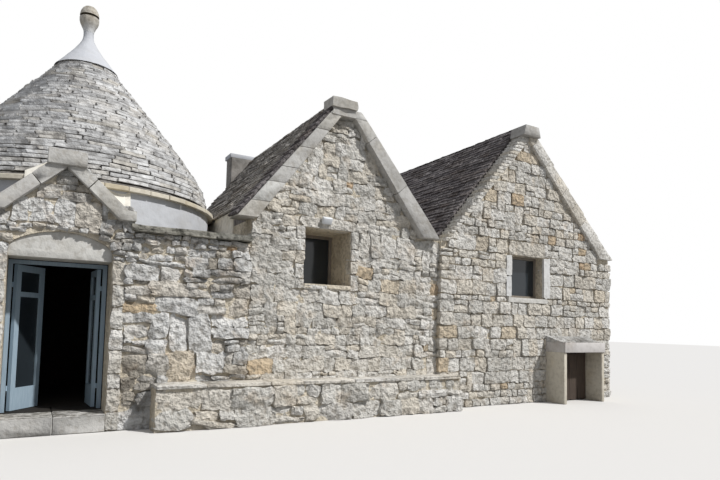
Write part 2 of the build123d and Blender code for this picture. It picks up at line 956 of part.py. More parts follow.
# Gable copings of dressed slabs, wider at the foot than at the top
left_outer_slope = (left_apex_height - eaves_height) / (left_ridge_x - left_eave_x)
right_outer_slope = (left_apex_height - eaves_height) / (left_right_eave_x - left_ridge_x)
with BuildPart() as left_gable_coping_left:
    upright(
        front_y - coping_projection,
        left_roof_front,
        (left_eave_x, eaves_height),
        (left_eave_slope_foot, eaves_height),
        (left_ridge_x - (left_inner_ridge_height - left_coping_top) / left_slope, left_coping_top),
        (left_ridge_x - (left_apex_height - left_coping_top) / left_outer_slope, left_coping_top),
    )
write("left_gable_coping_left", left_gable_coping_left)

with BuildPart() as left_gable_coping_right:
    upright(
        front_y - coping_projection,
        left_roof_front,
        (left_right_eave_x, eaves_height),
        (left_right_slope_foot, eaves_height),
        (left_ridge_x + (left_inner_ridge_height - left_coping_top) / right_slope, left_coping_top),
        (left_ridge_x + (left_apex_height - left_coping_top) / right_outer_slope, left_coping_top),
    )
write("left_gable_coping_right", left_gable_coping_right)

# Saddle stone at the point of the first gable
with BuildPart() as left_gable_capstone:
    top_left = left_ridge_x - (left_apex_height - left_coping_top) / left_outer_slope
    top_right = left_ridge_x + (left_apex_height - left_coping_top) / right_outer_slope
    upright(
        front_y - coping_projection,
        left_roof_front,
        (left_ridge_x - (left_inner_ridge_height - left_coping_top) / left_slope, left_coping_top),
        (left_ridge_x, left_inner_ridge_height),
        (left_ridge_x + (left_inner_ridge_height - left_coping_top) / right_slope, left_coping_top),
        (top_right, left_coping_top),
        (left_ridge_x + left_cap_half_width, left_cap_bottom),
        (left_ridge_x + left_cap_top_half_width, left_cap_top),
        (left_ridge_x - left_cap_top_half_width, left_cap_top),
        (left_ridge_x - left_cap_half_width, left_cap_bottom),
        (top_left, left_coping_top),
    )
write("left_gable_capstone", left_gable_capstone)

# Second gable: a rough verge on the left, a broad coping on the right
verge_outer_slope = (right_ridge_height - eaves_height) / (right_ridge_x - valley_x)
rake_outer_slope = (right_ridge_height - right_eave_height) / (right_eave_x - right_ridge_x)
verge_inner_top = right_ridge_x - (right_inner_ridge_height - right_coping_top) / right_verge_slope
verge_outer_top = right_ridge_x - (right_ridge_height - right_coping_top) / verge_outer_slope
rake_outer_top = right_ridge_x + (right_ridge_height - right_coping_top) / rake_outer_slope

with BuildPart() as right_gable_verge:
    upright(
        right_front_y - coping_projection,
        right_roof_front,
        (right_verge_foot, eaves_height),
        (right_ridge_x, right_inner_ridge_height),
        (right_ridge_x, right_coping_top),
        *crow_stepped(
            (valley_x, eaves_height), (verge_outer_top, right_coping_top), verge_slab_height
        )[::-1],
    )
write("right_gable_verge", right_gable_verge)

with BuildPart() as right_gable_coping:
    upright(
        right_front_y - coping_projection,
        right_roof_front,
        (right_eave_x, eaves_height),
        (right_slope_foot, eaves_height),
        (right_ridge_x, right_inner_ridge_height),
        (right_ridge_x, right_coping_top),
        *lapped(
            (right_eave_x, right_eave_height),
            (rake_outer_top, right_coping_top),
            rake_slab_length,
            rake_slab_lap,
        )[::-1],
    )
write("right_gable_coping", right_gable_coping)

with BuildPart() as right_gable_capstone:
    upright(
        right_front_y - coping_projection,
        right_roof_front,
        (right_ridge_x - right_cap_half_width, right_coping_top),
        (right_ridge_x + right_cap_half_width, right_coping_top),
        (right_ridge_x + right_cap_top_half_width, right_coping_top + right_cap_height),
        (right_ridge_x - right_cap_top_half_width, right_coping_top + right_cap_height),
    )
write("right_gable_capstone", right_gable_capstone)

# Windows: a wooden frame and a pane set into each opening
windows = (
    (
        left_window_x,
        left_window_right,
        left_window_bottom + sill_height,
        left_window_top,
        front_y + left_window_setback,
    ),
    (
        right_window_x,
        right_window_right,
        right_window_bottom,
        right_window_top,
        right_front_y + right_window_setback,
    ),
)
with BuildPart() as window_frames:
    for x_low, x_high, z_low, z_high, sash_y in windows:
        slab(x_low, x_high, sash_y, sash_y + sash_depth, z_low, z_high)
        with BuildSketch(facade(sash_y + sash_depth)):
            outline(
                (x_low + sash_width, z_low + sash_width),
                (x_high - sash_width, z_low + sash_width),
                (x_high - sash_width, z_high - sash_width),
                (x_low + sash_width, z_high - sash_width),
            )
        extrude(amount=sash_depth, mode=Mode.SUBTRACT)
write("window_frames", window_frames)

with BuildPart() as window_glass:
    for x_low, x_high, z_low, z_high, sash_y in windows:
        pane_y = sash_y + (sash_depth - glass_thickness) / 2
        slab(
            x_low + sash_width,
            x_high - sash_width,
            pane_y,
            pane_y + glass_thickness,
            z_low + sash_width,
            z_high - sash_width,
        )
write("window_glass", window_glass)

with BuildPart() as left_window_sill:
    slab(
        left_window_x,
        left_window_right,
        front_y - sill_projection,
        front_y + lamia_wall,
        left_window_bottom,
        left_window_bottom + sill_height,
    )
write("left_window_sill", left_window_sill)

# Chimney stack against the back gable of the first room
with BuildPart() as chimney:
    slab(
        chimney_x,
        chimney_x + chimney_width,
        left_back_y,
        left_back_y + chimney_depth,
        0,
        chimney_height,
    )
write("chimney", chimney)

with BuildPart() as chimney_cap:
    slab(
        chimney_x - chimney_cap_overhang,
        chimney_x + chimney_width + chimney_cap_overhang,
        left_back_y,
        left_back_y + chimney_depth + chimney_cap_overhang,
        chimney_height,
        chimney_height + chimney_cap_height,
    )
write("chimney_cap", chimney_cap)

# Stone bench along the facade
with BuildPart() as bench_base:
    slab(bench_left, bench_right, front_y - bench_depth, front_y, 0, bench_height)
    slab(valley_x, bench_right, right_front_y, front_y, 0, bench_height, Mode.SUBTRACT)
write("bench_base", bench_base)

with BuildPart() as bench_slab:
    slab(
        bench_left,
        bench_right,
        front_y - bench_depth - bench_slab_overhang,
        front_y,
        bench_height,
        bench_height + bench_slab_height,
    )
    slab(
        valley_x,
        bench_right,
        right_front_y,
        front_y,
        bench_height,
        bench_height + bench_slab_height,
        Mode.SUBTRACT,
    )
write("bench_slab", bench_slab)

# Open stone cabinet under a heavy slab
cabinet_right = cabinet_left + cabinet_width
cabinet_front = right_front_y - cabinet_depth
with BuildPart() as cabinet_panels:
    slab(cabinet_left, cabinet_left + cabinet_panel, cabinet_front, right_front_y, 0, cabinet_height)
    slab(cabinet_right - cabinet_panel, cabinet_right, cabinet_front, right_front_y, 0, cabinet_height)
write("cabinet_panels", cabinet_panels)

with BuildPart() as cabinet_top:
    slab(
        cabinet_left,
        cabinet_right,
        cabinet_front - cabinet_top_overhang,
        right_front_y,
        cabinet_height,
        cabinet_height + cabinet_top_height,
    )
write("cabinet_top", cabinet_top)
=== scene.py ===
import bpy
import json
import math
import random
from mathutils import Matrix, Vector

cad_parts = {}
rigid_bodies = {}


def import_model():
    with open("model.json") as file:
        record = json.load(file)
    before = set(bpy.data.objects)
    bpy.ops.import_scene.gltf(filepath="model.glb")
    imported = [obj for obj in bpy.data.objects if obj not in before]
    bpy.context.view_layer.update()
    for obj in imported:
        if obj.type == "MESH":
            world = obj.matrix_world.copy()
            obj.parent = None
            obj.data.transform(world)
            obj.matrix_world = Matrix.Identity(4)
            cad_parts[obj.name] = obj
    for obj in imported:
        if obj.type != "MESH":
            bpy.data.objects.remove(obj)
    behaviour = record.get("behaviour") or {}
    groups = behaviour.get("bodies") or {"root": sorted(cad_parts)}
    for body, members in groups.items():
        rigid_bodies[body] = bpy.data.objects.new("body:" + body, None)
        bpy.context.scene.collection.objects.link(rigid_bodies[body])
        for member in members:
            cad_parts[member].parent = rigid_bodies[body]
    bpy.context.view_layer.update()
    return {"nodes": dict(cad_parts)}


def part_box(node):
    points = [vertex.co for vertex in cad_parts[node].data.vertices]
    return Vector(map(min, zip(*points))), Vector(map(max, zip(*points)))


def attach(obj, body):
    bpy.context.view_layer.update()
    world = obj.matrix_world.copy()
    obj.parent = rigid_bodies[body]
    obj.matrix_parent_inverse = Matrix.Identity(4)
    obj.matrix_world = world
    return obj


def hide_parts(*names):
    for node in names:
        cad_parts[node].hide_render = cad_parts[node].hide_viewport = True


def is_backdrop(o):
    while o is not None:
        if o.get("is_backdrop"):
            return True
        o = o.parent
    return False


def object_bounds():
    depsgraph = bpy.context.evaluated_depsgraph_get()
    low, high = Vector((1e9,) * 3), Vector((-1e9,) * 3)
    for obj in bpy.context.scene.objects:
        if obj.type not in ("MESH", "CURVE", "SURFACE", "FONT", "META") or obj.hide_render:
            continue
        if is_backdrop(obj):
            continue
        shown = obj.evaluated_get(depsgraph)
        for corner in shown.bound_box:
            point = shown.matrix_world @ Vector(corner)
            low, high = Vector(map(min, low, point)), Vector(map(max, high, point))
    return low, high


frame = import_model()
nodes = frame["nodes"]
up = Vector((0, 0, 1))
print("frame loaded", len(nodes), "nodes")


# Working helpers

def selectOnly(*pieces):
    # with no piece given, everything is deselected
    if bpy.context.object and bpy.context.object.mode != "OBJECT":
        bpy.ops.object.mode_set(mode="OBJECT")
    bpy.ops.object.select_all(action="DESELECT")
    for piece in pieces:
        piece.select_set(True)
    if pieces:
        bpy.context.view_layer.objects.active = pieces[0]


def editAll(piece):
    piece.hide_set(False)
    selectOnly(piece)
    bpy.ops.object.mode_set(mode="EDIT")
    bpy.ops.mesh.select_all(action="SELECT")


def endEdit(smooth=None):
    # edges flatter than the angle are shaded smooth
    bpy.ops.object.mode_set(mode="OBJECT")
    if smooth:
        bpy.ops.object.shade_smooth_by_angle(angle=math.radians(smooth))


def newPiece(name, points, edges=()):
    mesh = bpy.data.meshes.new(name)
    mesh.from_pydata(points, edges, [])
    piece = bpy.data.objects.new(name, mesh)
    bpy.context.collection.objects.link(piece)
    return piece


def duplicate(source):
    twin = source.copy()
    twin.data = source.data.copy()
    bpy.context.collection.objects.link(twin)
    return twin


def copyOfNode(nodeName):
    # a CAD node's mesh without its tags, its corners not merged yet
    twin = duplicate(nodes[nodeName])
    for key in list(twin.keys()):
        del twin[key]
    twin.parent = None
    twin.matrix_world = Matrix.Identity(4)
    twin.hide_render = False
    return twin


def joinPieces(name, pieces):
    selectOnly(*pieces)
    if len(pieces) > 1:
        bpy.ops.object.join()
    joined = bpy.context.object
    joined.name = joined.data.name = name
    return joined


def writeAttribute(mesh, name, kind, values):
    column = mesh.attributes.new(name, kind, "POINT")
    column.data.foreach_set("vector" if kind == "FLOAT_VECTOR" else "value", values)


def gridSheet(name, cuts, size, thickness):
    # a sheet of small faces whose rim is drawn back, left in edit mode with all of it selected
    selectOnly()
    bpy.ops.mesh.primitive_grid_add(x_subdivisions=cuts[0], y_subdivisions=cuts[1], size=1)
    sheet = bpy.context.object
    sheet.name = sheet.data.name = name
    editAll(sheet)
    bpy.ops.transform.resize(value=(*size, 1))
    bpy.ops.mesh.select_mode(type="EDGE")
    bpy.ops.mesh.select_all(action="DESELECT")
    bpy.ops.mesh.select_non_manifold()
    bpy.ops.mesh.extrude_edges_move(TRANSFORM_OT_translate={"value": (0, 0, -thickness)})
    bpy.ops.mesh.select_all(action="SELECT")
    return sheet


finishes = {}


def finishPiece(piece, finish, standsFor=()):
    piece.data.materials.clear()
    piece.data.materials.append(finishes[finish])
    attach(piece, "house")
    if standsFor:
        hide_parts(*standsFor)


def linear(code):
    # sRGB hex to the linear colour that a shader socket wants
    channels = [int(code[place:place + 2], 16) / 255 for place in (1, 3, 5)]
    return [c / 12.92 if c < 0.04045 else ((c + 0.055) / 1.055) ** 2.4 for c in channels] + [1]


def addNode(tree, kind, feeds=(), **settings):
    # kind is a shader node's short name or any node's whole name; a feed is a value, a socket or a node
    node = tree.nodes.new(kind if "Node" in kind else "ShaderNode" + kind)
    for key, value in settings.items():
        setattr(node, key, value)
    for socket, value in dict(feeds).items():
        if isinstance(value, bpy.types.Node):
            value = next(output for output in value.outputs if output.enabled)
        if isinstance(value, bpy.types.NodeSocket):
            tree.links.new(value, node.inputs[socket])
        else:
            node.inputs[socket].default_value = value
    return node


def setRamp(ramp, stops):
    elements = ramp.color_ramp.elements
    while len(elements) < len(stops):
        elements.new(0.5)
    for element, (place, code) in zip(elements, stops):
        element.position = place
        element.color = linear(code)


def emptyTree(owner):
    owner.use_nodes = True
    owner.node_tree.nodes.clear()
    return owner.node_tree


# Camera, matched to the vanishing lines of the facade

cameraView = {"place": (-0.55, -9.30, 1.30), "heading": 30.4, "pitch": 3.6, "roll": 1.3,
              "lens": 28, "sensor": 36, "shiftY": 0.0694, "farthest": 200}
camera = bpy.data.objects.new("camera", bpy.data.cameras.new("camera"))
bpy.context.collection.objects.link(camera)
camera.data.lens = cameraView["lens"]
camera.data.sensor_width = cameraView["sensor"]
camera.data.shift_y = cameraView["shiftY"]
camera.data.clip_end = cameraView["farthest"]
camera.matrix_world = (
    Matrix.Translation(cameraView["place"])
    @ Matrix.Rotation(math.radians(-cameraView["heading"]), 4, "Z")
    @ Matrix.Rotation(math.radians(90 + cameraView["pitch"]), 4, "X")
    @ Matrix.Rotation(math.radians(cameraView["roll"]), 4, "Z")
)
bpy.context.scene.camera = camera


# Light: one soft key from high on the right, and an even white surround

lighting = {"keyFrom": (0.436, -0.53, 0.727), "key": 3.4, "keyWidth": 2, "surround": 0.46, "sky": "#e6ecf8"}
key = bpy.data.objects.new("key", bpy.data.lights.new("key", "SUN"))
bpy.context.collection.objects.link(key)
key.data.energy = lighting["key"]
key.data.angle = math.radians(lighting["keyWidth"])
key.rotation_euler = Vector(lighting["keyFrom"]).to_track_quat("Z", "Y").to_euler()

world = bpy.data.worlds.new("surround")
bpy.context.scene.world = world
bpy.context.scene.view_settings.view_transform = "Standard"
tree = emptyTree(world)
rays = addNode(tree, "LightPath")
seen = addNode(tree, "Math", {0: rays.outputs["Is Camera Ray"], 1: rays.outputs["Is Glossy Ray"]},
               operation="MAXIMUM")
seen = addNode(tree, "Math", {0: seen, 1: rays.outputs["Is Transmission Ray"]}, operation="MAXIMUM")
surround = addNode(tree, "Background", {"Color": linear(lighting["sky"]), "Strength": lighting["surround"]})
backdrop = addNode(tree, "Background", {"Color": (1, 1, 1, 1), "Strength": 1})
both = addNode(tree, "MixShader", {0: seen, 1: surround, 2: backdrop})
addNode(tree, "OutputWorld", {"Surface": both})


# Stone finishes. Each is weathered local limestone, laid, sawn or washed in its own way.

def stoneFinish(name, look):
    # scales are 1000 / size in mm, because patterns are in metres
    material = bpy.data.materials.new(name)
    tree = emptyTree(material)
    place = addNode(tree, "TexCoord").outputs["Object"]
    noise = {}
    for part, detail, roughness in (("warm", 4, 0.6), ("stain", 5, 0.62), ("hollow", 4, 0.5),
                                    ("lichen", 6, 0.7), ("grain", 4, 0.6)):
        if part in look:
            noise[part] = addNode(tree, "TexNoise", {"Vector": place, "Scale": 1000 / look[part][0],
                                                     "Detail": detail, "Roughness": roughness})
    if "patch" in look:
        tint = addNode(tree, "TexNoise", {"Vector": place, "Scale": 1000 / look["patch"], "Detail": 3})
    else:
        tint = addNode(tree, "Attribute", attribute_name="tint").outputs["Fac"]
    base = addNode(tree, "ValToRGB", {0: tint})
    setRamp(base, look["colours"])
    # coats over the base colour: iron and earth in the stone, broad rain stains, and hollows darkened with
    # dirt and painted shade
    coats = []
    for part, low, high, blend in (("warm", 0.55, 0.72, "MIX"), ("stain", 0.48, 0.72, "MULTIPLY"),
                                   ("hollow", 0.47, 0.36, "MIX")):
        area = addNode(tree, "MapRange", {"Value": noise[part], "From Min": low, "From Max": high,
                                          "To Max": look[part][1]})
        coats.append((area, look[part][2], blend))
    ridges = addNode(tree, "MapRange", {"Value": noise["hollow"], "From Min": 0.4, "From Max": 0.7,
                                        "To Min": 1 - look["reliefShading"], "To Max": 1 + look["reliefShading"] * 0.5})
    coats.insert(2, (1.0, ridges, "MULTIPLY"))  # painted shade and light: the face darker where the relief is low and lighter where it is high, under the dirt and painted shade of its hollows
    if "seam" in look:
        # dirt and painted shade along a slab's edges draw the joints
        nearness = addNode(tree, "Attribute", attribute_name="edgeNear").outputs["Vector"]
        edges = addNode(tree, "SeparateXYZ", {0: nearness})
        ends = addNode(tree, "MapRange", {"Value": edges.outputs[0], "From Min": 0.92})
        beds = addNode(tree, "MapRange", {"Value": edges.outputs[1], "From Min": 0.66})
        worst = addNode(tree, "Math", {0: ends, 1: beds}, operation="MAXIMUM")
        patchy = addNode(tree, "MapRange", {"Value": noise["hollow"], "From Min": 0.6, "From Max": 0.44,
                                            "To Min": 0.4, "To Max": look["seam"]})
        dirt = addNode(tree, "Math", {0: worst, 1: patchy}, operation="MULTIPLY")
        coats.append((dirt, look["hollow"][2], "MIX"))
    if "lichen" in look:
        # black lichen grows on what faces the sky
        facing = addNode(tree, "SeparateXYZ", {0: addNode(tree, "NewGeometry").outputs["Normal"]})
        upward = addNode(tree, "MapRange", {"Value": facing.outputs[2], "From Min": look["lichenFrom"],
                                            "From Max": 0.85})
        spots = addNode(tree, "MapRange", {"Value": noise["lichen"], "From Min": 0.44, "From Max": 0.56,
                                           "To Max": look["lichen"][1]})
        grown = addNode(tree, "Math", {0: upward, 1: spots}, operation="MULTIPLY")
        coats.append((grown, look["lichen"][2], "MIX"))
    if "lime" in look:
        # the lime has stayed on up to a height, and the groove is painted dark for its lichen and the shade
        # in it
        lime = look["lime"]
        height = addNode(tree, "SeparateXYZ", {0: place}).outputs[2]
        wavy = addNode(tree, "Math", {0: noise["stain"], 1: lime["wave"], 2: height},
                       operation="MULTIPLY_ADD")
        kept = addNode(tree, "MapRange", {"Value": wavy, "From Min": lime["below"] + lime["wave"],
                                          "From Max": lime["below"]})
        groove = addNode(tree, "Math", {0: height, 1: lime["groove"], 2: lime["grooveHalf"]},
                         operation="COMPARE")
        coats += [(kept, lime["colour"], "MIX"), (groove, lime["grooveColour"], "MIX")]
    # painted shade: whatever lies within the given reach of the cone's axis, across and along, is painted
    # near black for the unlit room
    if "roomShade" in look:
        within, code = look["roomShade"]
        outward = addNode(tree, "VectorMath", {0: place}, operation="ABSOLUTE")
        reach = addNode(tree, "SeparateXYZ", {0: outward})
        widest = addNode(tree, "Math", {0: reach.outputs[0], 1: reach.outputs[1]}, operation="MAXIMUM")
        coats.append((addNode(tree, "Math", {0: widest, 1: within}, operation="LESS_THAN"), code, "MIX"))
    colour = base
    for area, paint, blend in coats:
        paint = linear(paint) if isinstance(paint, str) else paint
        colour = addNode(tree, "Mix", {0: area, 6: colour, 7: paint}, data_type="RGBA", blend_type=blend)
    # relief: the hollows, and the grain of the stone
    fine = addNode(tree, "Math", {0: noise["grain"], 1: 0.25}, operation="MULTIPLY")
    relief = addNode(tree, "Math", {0: noise["hollow"], 1: fine}, operation="ADD")
    bump = addNode(tree, "Bump", {"Strength": look["grain"][1], "Distance": look["grain"][2],
                                  "Height": relief})
    shader = addNode(tree, "BsdfPrincipled", {"Base Color": colour, "Roughness": look["roughness"],
                                              "Specular IOR Level": 0.2, "Normal": bump})
    addNode(tree, "OutputMaterial", {"Surface": shader})
    finishes[name] = material


unlitRoomShade = (1.7, "#2b2723")  # painted shade: the room under the cone, up to this far from its axis, is painted near black for the shade inside it

# warm, stain, hollow and lichen are each a size in mm, a depth and a colour; grain is a size, a bump and
# the bump's height in m. Without a patch size the colour goes from stone to stone.
# the hollow colour is dirt and painted shade in the low parts of the relief; the relief also paints each face
# a little darker where it is low and lighter where it is high
stoneLooks = {
    # Field limestone, split with a hammer: pale grey and cream with a few rust stones, rough all over
    "limestoneRubble": {
        "colours": [(0.0, "#cfcbc2"), (0.2, "#dcd8cf"), (0.4, "#e7e3db"), (0.6, "#d9d2c5"), (0.78, "#e0d7c7"),
                    (0.86, "#d9cab2"), (0.94, "#d1bda0"), (1.0, "#c6aa8b")],
        "warm": (260, 0.35, "#c9ae8a"), "stain": (600, 0.35, "#aaa69e"), "hollow": (62, 0.5, "#8f8678"),
        "reliefShading": 0.16, "grain": (22, 1.0, 0.075), "roughness": 0.92},
    # The same stone in the trullo block, older, greyer and more broken
    "limestoneOldRubble": {
        "colours": [(0.0, "#cbc9c4"), (0.2, "#dbd9d4"), (0.42, "#eae8e3"), (0.6, "#d5d0c7"), (0.8, "#dfd5c4"),
                    (0.92, "#d8c3a4"), (1.0, "#cbab87")],
        "warm": (260, 0.4, "#bfa27e"), "stain": (750, 0.9, "#8c8a87"), "hollow": (80, 0.5, "#7c756b"),
        "reliefShading": 0.16, "grain": (26, 1.0, 0.10), "roughness": 0.93},
    # Lime mortar between the stones and on the reveals, trowelled, sandy and cream; painted near black inside
    # the trullo for the shade there
    "limeMortar": {
        "patch": 300, "colours": [(0.3, "#d6cab4"), (0.7, "#e2d8c5")],
        "warm": (300, 0.3, "#c2ab86"), "stain": (400, 0.5, "#a39b8c"), "hollow": (45, 0.35, "#7d7261"),
        "reliefShading": 0.1, "roomShade": unlitRoomShade, "grain": (12, 1.0, 0.04), "roughness": 0.96},
    # Split slabs of the cone, bleached by the sun, dirt and painted shade caught in the broken edges
    "limestoneSlab": {
        "colours": [(0.0, "#c3c2c0"), (0.25, "#dcdbd9"), (0.55, "#eeedea"), (0.8, "#e3e0db"),
                    (1.0, "#d1ccc2")],
        "warm": (300, 0.25, "#c5b59c"), "stain": (260, 0.5, "#9a9792"), "hollow": (110, 0.35, "#66625e"),
        "seam": 0.8, "reliefShading": 0.14, "grain": (22, 1.0, 0.035), "roughness": 0.93},
    # Roof slabs of the second pitched room, dark with old lichen, and painted darker for the shade on the
    # slopes turned from the light
    "limestoneRoofSlab": {
        "colours": [(0.0, "#5d5757"), (0.35, "#767070"), (0.65, "#8d8785"), (1.0, "#6b625e")],
        "warm": (260, 0.25, "#6e5c4f"), "stain": (420, 0.7, "#7a7472"), "hollow": (70, 0.5, "#3a3536"),
        "reliefShading": 0.25, "grain": (20, 1.0, 0.06), "roughness": 0.95},
    # The first room's slabs, laid later and still grey
    "limestoneGreySlab": {
        "colours": [(0.0, "#8d8883"), (0.35, "#a5a09a"), (0.65, "#b9b4ac"), (1.0, "#9a9187")],
        "warm": (260, 0.25, "#94836f"), "stain": (420, 0.7, "#8c8781"), "hollow": (70, 0.5, "#544e49"),
        "reliefShading": 0.25, "grain": (20, 1.0, 0.06), "roughness": 0.95},
    # Earth and shadow behind the cone's dry-laid slabs
    "slabBed": {
        "patch": 200, "colours": [(0.3, "#77726c"), (0.7, "#8f8a83")],
        "warm": (260, 0.2, "#5d5348"), "stain": (300, 0.4, "#6d6965"), "hollow": (50, 0.6, "#5c5751"),
        "reliefShading": 0.2, "grain": (14, 0.7, 0.04), "roughness": 0.97},
    # Sawn limestone of copings and lintels, smooth and pale, black where rain lies; painted near black on the
    # trullo's floor for the shade in the room
    "limestoneSawn": {
        "colours": [(0.0, "#b7b4ae"), (0.4, "#c2bfb9"), (0.7, "#cbc9c3"), (1.0, "#bdb8ae")],
        "warm": (420, 0.2, "#c9b798"), "stain": (450, 0.5, "#b1aca2"), "hollow": (60, 0.25, "#918777"),
        "lichen": (90, 0.75, "#57534c"), "lichenFrom": 0.55, "reliefShading": 0.07, "roomShade": unlitRoomShade,
        "grain": (14, 0.6, 0.022), "roughness": 0.85},
    # Blocks dressed for the second window, lighter and smoother than the walling
    "limestoneDressed": {
        "colours": [(0.0, "#d2d1cd"), (0.5, "#dfdedb"), (1.0, "#d6d2c9")],
        "warm": (400, 0.2, "#cbbda3"), "stain": (350, 0.35, "#b4b1ab"), "hollow": (60, 0.18, "#a09888"),
        "reliefShading": 0.06, "grain": (16, 0.7, 0.018), "roughness": 0.88},
    # Cement render of the built-in cabinet, smooth and grey-pink
    "cabinetRender": {
        "colours": [(0.0, "#c6c0ba"), (0.5, "#cec9c4"), (1.0, "#c8c1b8")],
        "warm": (500, 0.35, "#bfae98"), "stain": (500, 0.4, "#aaa39b"), "hollow": (70, 0.12, "#938a7e"),
        "reliefShading": 0.05, "grain": (14, 0.4, 0.008), "roughness": 0.9},
    # Cream slabs of the eave ring and the cabinet's sides
    "limestoneCream": {
        "colours": [(0.0, "#d2c9b6"), (0.5, "#dad2c1"), (1.0, "#cdc1a8")],
        "warm": (500, 0.3, "#ccb48c"), "stain": (450, 0.4, "#b5ab98"), "hollow": (60, 0.15, "#978569"),
        "reliefShading": 0.06, "grain": (12, 0.4, 0.012), "roughness": 0.85},
    # Parapet slabs, black and grey with moss and lichen
    "limestoneMossy": {
        "colours": [(0.0, "#85837a"), (0.5, "#99968c"), (1.0, "#aaa69a")],
        "warm": (300, 0.2, "#8f8a70"), "stain": (160, 0.8, "#75736a"), "hollow": (70, 0.7, "#3c3b34"),
        "lichen": (60, 0.65, "#3b3a33"), "lichenFrom": -0.2, "reliefShading": 0.25, "grain": (18, 1.0, 0.03),
        "roughness": 0.95},
    # Limewash brushed on in coats, white with faint brush unevenness
    "limewash": {
        "patch": 700, "colours": [(0.3, "#c2c3c6"), (0.7, "#cbccce")],
        "warm": (600, 0.12, "#d8cfbc"), "stain": (520, 0.4, "#d3cfc6"), "hollow": (110, 0.06, "#b5ad9c"),
        "reliefShading": 0.03, "grain": (40, 0.5, 0.02), "roughness": 0.9},
    # The finial's old limewash, worn to beige stone with black lichen on the top
    "wornLimewash": {
        "patch": 160, "colours": [(0.3, "#b5ad9f"), (0.7, "#cdc8bd")],
        "warm": (150, 0.35, "#a8987c"), "stain": (140, 0.45, "#9c9486"), "hollow": (40, 0.25, "#7c7261"),
        "lichen": (45, 0.8, "#5d564a"), "lichenFrom": 0.3, "reliefShading": 0.12,
        "lime": {"below": 5.72, "wave": 0.12, "colour": "#d2d2d0", "groove": 5.900, "grooveHalf": 0.016,
                 "grooveColour": "#4f4739"},
        "grain": (20, 0.7, 0.012), "roughness": 0.9},
    # Rendered chimney, grey-brown with soot and rain
    "sootyPlaster": {
        "patch": 500, "colours": [(0.3, "#8b8781"), (0.7, "#a19c95")],
        "warm": (400, 0.2, "#8f8069"), "stain": (350, 0.6, "#868380"), "hollow": (70, 0.3, "#67625b"),
        "reliefShading": 0.1, "grain": (20, 0.6, 0.015), "roughness": 0.93},
    # Thin pale slabs of the second gable's verge and the bench, left rough at their ends
    "limestoneVerge": {
        "colours": [(0.0, "#d3cec4"), (0.5, "#e2ded6"), (1.0, "#d8cfbf")],
        "warm": (300, 0.3, "#cdb894"), "stain": (400, 0.5, "#a5a198"), "hollow": (55, 0.45, "#8a8173"),
        "reliefShading": 0.14, "grain": (18, 1.0, 0.04), "roughness": 0.92},
    # Lime plaster, trowelled, grey-cream where it has aged
    "limePlaster": {
        "patch": 900, "colours": [(0.3, "#efe9db"), (0.7, "#f6f2e7")],
        "warm": (500, 0.3, "#cbb992"), "stain": (500, 0.25, "#b3ac9d"), "hollow": (80, 0.18, "#948b7a"),
        "reliefShading": 0.06, "grain": (26, 0.5, 0.010), "roughness": 0.92},
}
for name, look in stoneLooks.items():
    stoneFinish(name, look)


# Stones: blocks knocked about once, then copied onto every place in a wall. The waves push the whole wall
# about a little, so that no line is straight.

stoneShapes = {
    "rubble": {"kinds": 14, "across": 5, "unevenness": 0.085, "rounding": 0.42,
               "waves": ((2.4, 0.10), (8, 0.06))},
    "squared": {"kinds": 12, "across": 5, "unevenness": 0.06, "rounding": 0.24,
                "waves": ((2.4, 0.05), (8, 0.04))},
    "slab": {"kinds": 10, "across": 3, "unevenness": 0.055, "rounding": 0.08, "waves": ((6, 0.018),)},
}


def roughBlock(name, shape, seed):
    # the face of the stone is a small grid, its sides run back into the wall and it has no back
    block = gridSheet(name, (shape["across"], shape["across"]), (1, 1), 1)
    bpy.ops.transform.translate(value=(0, 0, 0.5))
    bpy.ops.transform.tosphere(value=shape["rounding"])
    bpy.ops.transform.vertex_random(offset=shape["unevenness"], uniform=0.2, seed=seed)
    bpy.ops.mesh.normals_make_consistent(inside=False)
    bpy.ops.object.mode_set(mode="OBJECT")
    block.data.transform(Matrix.Rotation(math.pi / 2, 4, "X"))  # the face looks along -Y
    nearness = []
    for corner in block.data.vertices:
        share = [abs(corner.co.x) * 2, abs(corner.co.z) * 2]
        nearness += [1 if part > 0.75 else part for part in share] + [0]
    writeAttribute(block.data, "edgeNear", "FLOAT_VECTOR", nearness)
    bpy.ops.object.shade_smooth_by_angle(angle=math.radians(30))
    return block


def stoneLayer(family, shelf, waves):
    # a copy of one of the shelf's stones on every point, then uneven surfaces
    group = bpy.data.node_groups.new(f"lay {family}", "GeometryNodeTree")
    for side in ("INPUT", "OUTPUT"):
        group.interface.new_socket("Geometry", in_out=side, socket_type="NodeSocketGeometry")
    stock = addNode(group, "GeometryNodeCollectionInfo",
                    {"Collection": shelf, "Separate Children": True, "Reset Children": True})
    turn, size, kind = [addNode(group, "GeometryNodeInputNamedAttribute", {"Name": name}, data_type=sort)
                        for name, sort in (("turn", "FLOAT_VECTOR"), ("size", "FLOAT_VECTOR"),
                                           ("kind", "INT"))]
    laid = addNode(group, "GeometryNodeInstanceOnPoints",
                   {"Points": addNode(group, "NodeGroupInput"), "Instance": stock, "Pick Instance": True,
                    "Instance Index": kind, "Rotation": turn, "Scale": size})
    shape = addNode(group, "GeometryNodeRealizeInstances", {"Geometry": laid})
    for scale, reach in waves:
        noise = addNode(group, "TexNoise", {"Scale": scale, "Detail": 1.0})
        centred = addNode(group, "VectorMath", {0: noise.outputs[1], 1: (0.5, 0.5, 0.5)},
                          operation="SUBTRACT")
        moved = addNode(group, "VectorMath", {0: centred, "Scale": reach}, operation="SCALE")
        shape = addNode(group, "GeometryNodeSetPosition", {"Geometry": shape, "Offset": moved})
    addNode(group, "NodeGroupOutput", {0: shape})
    return group


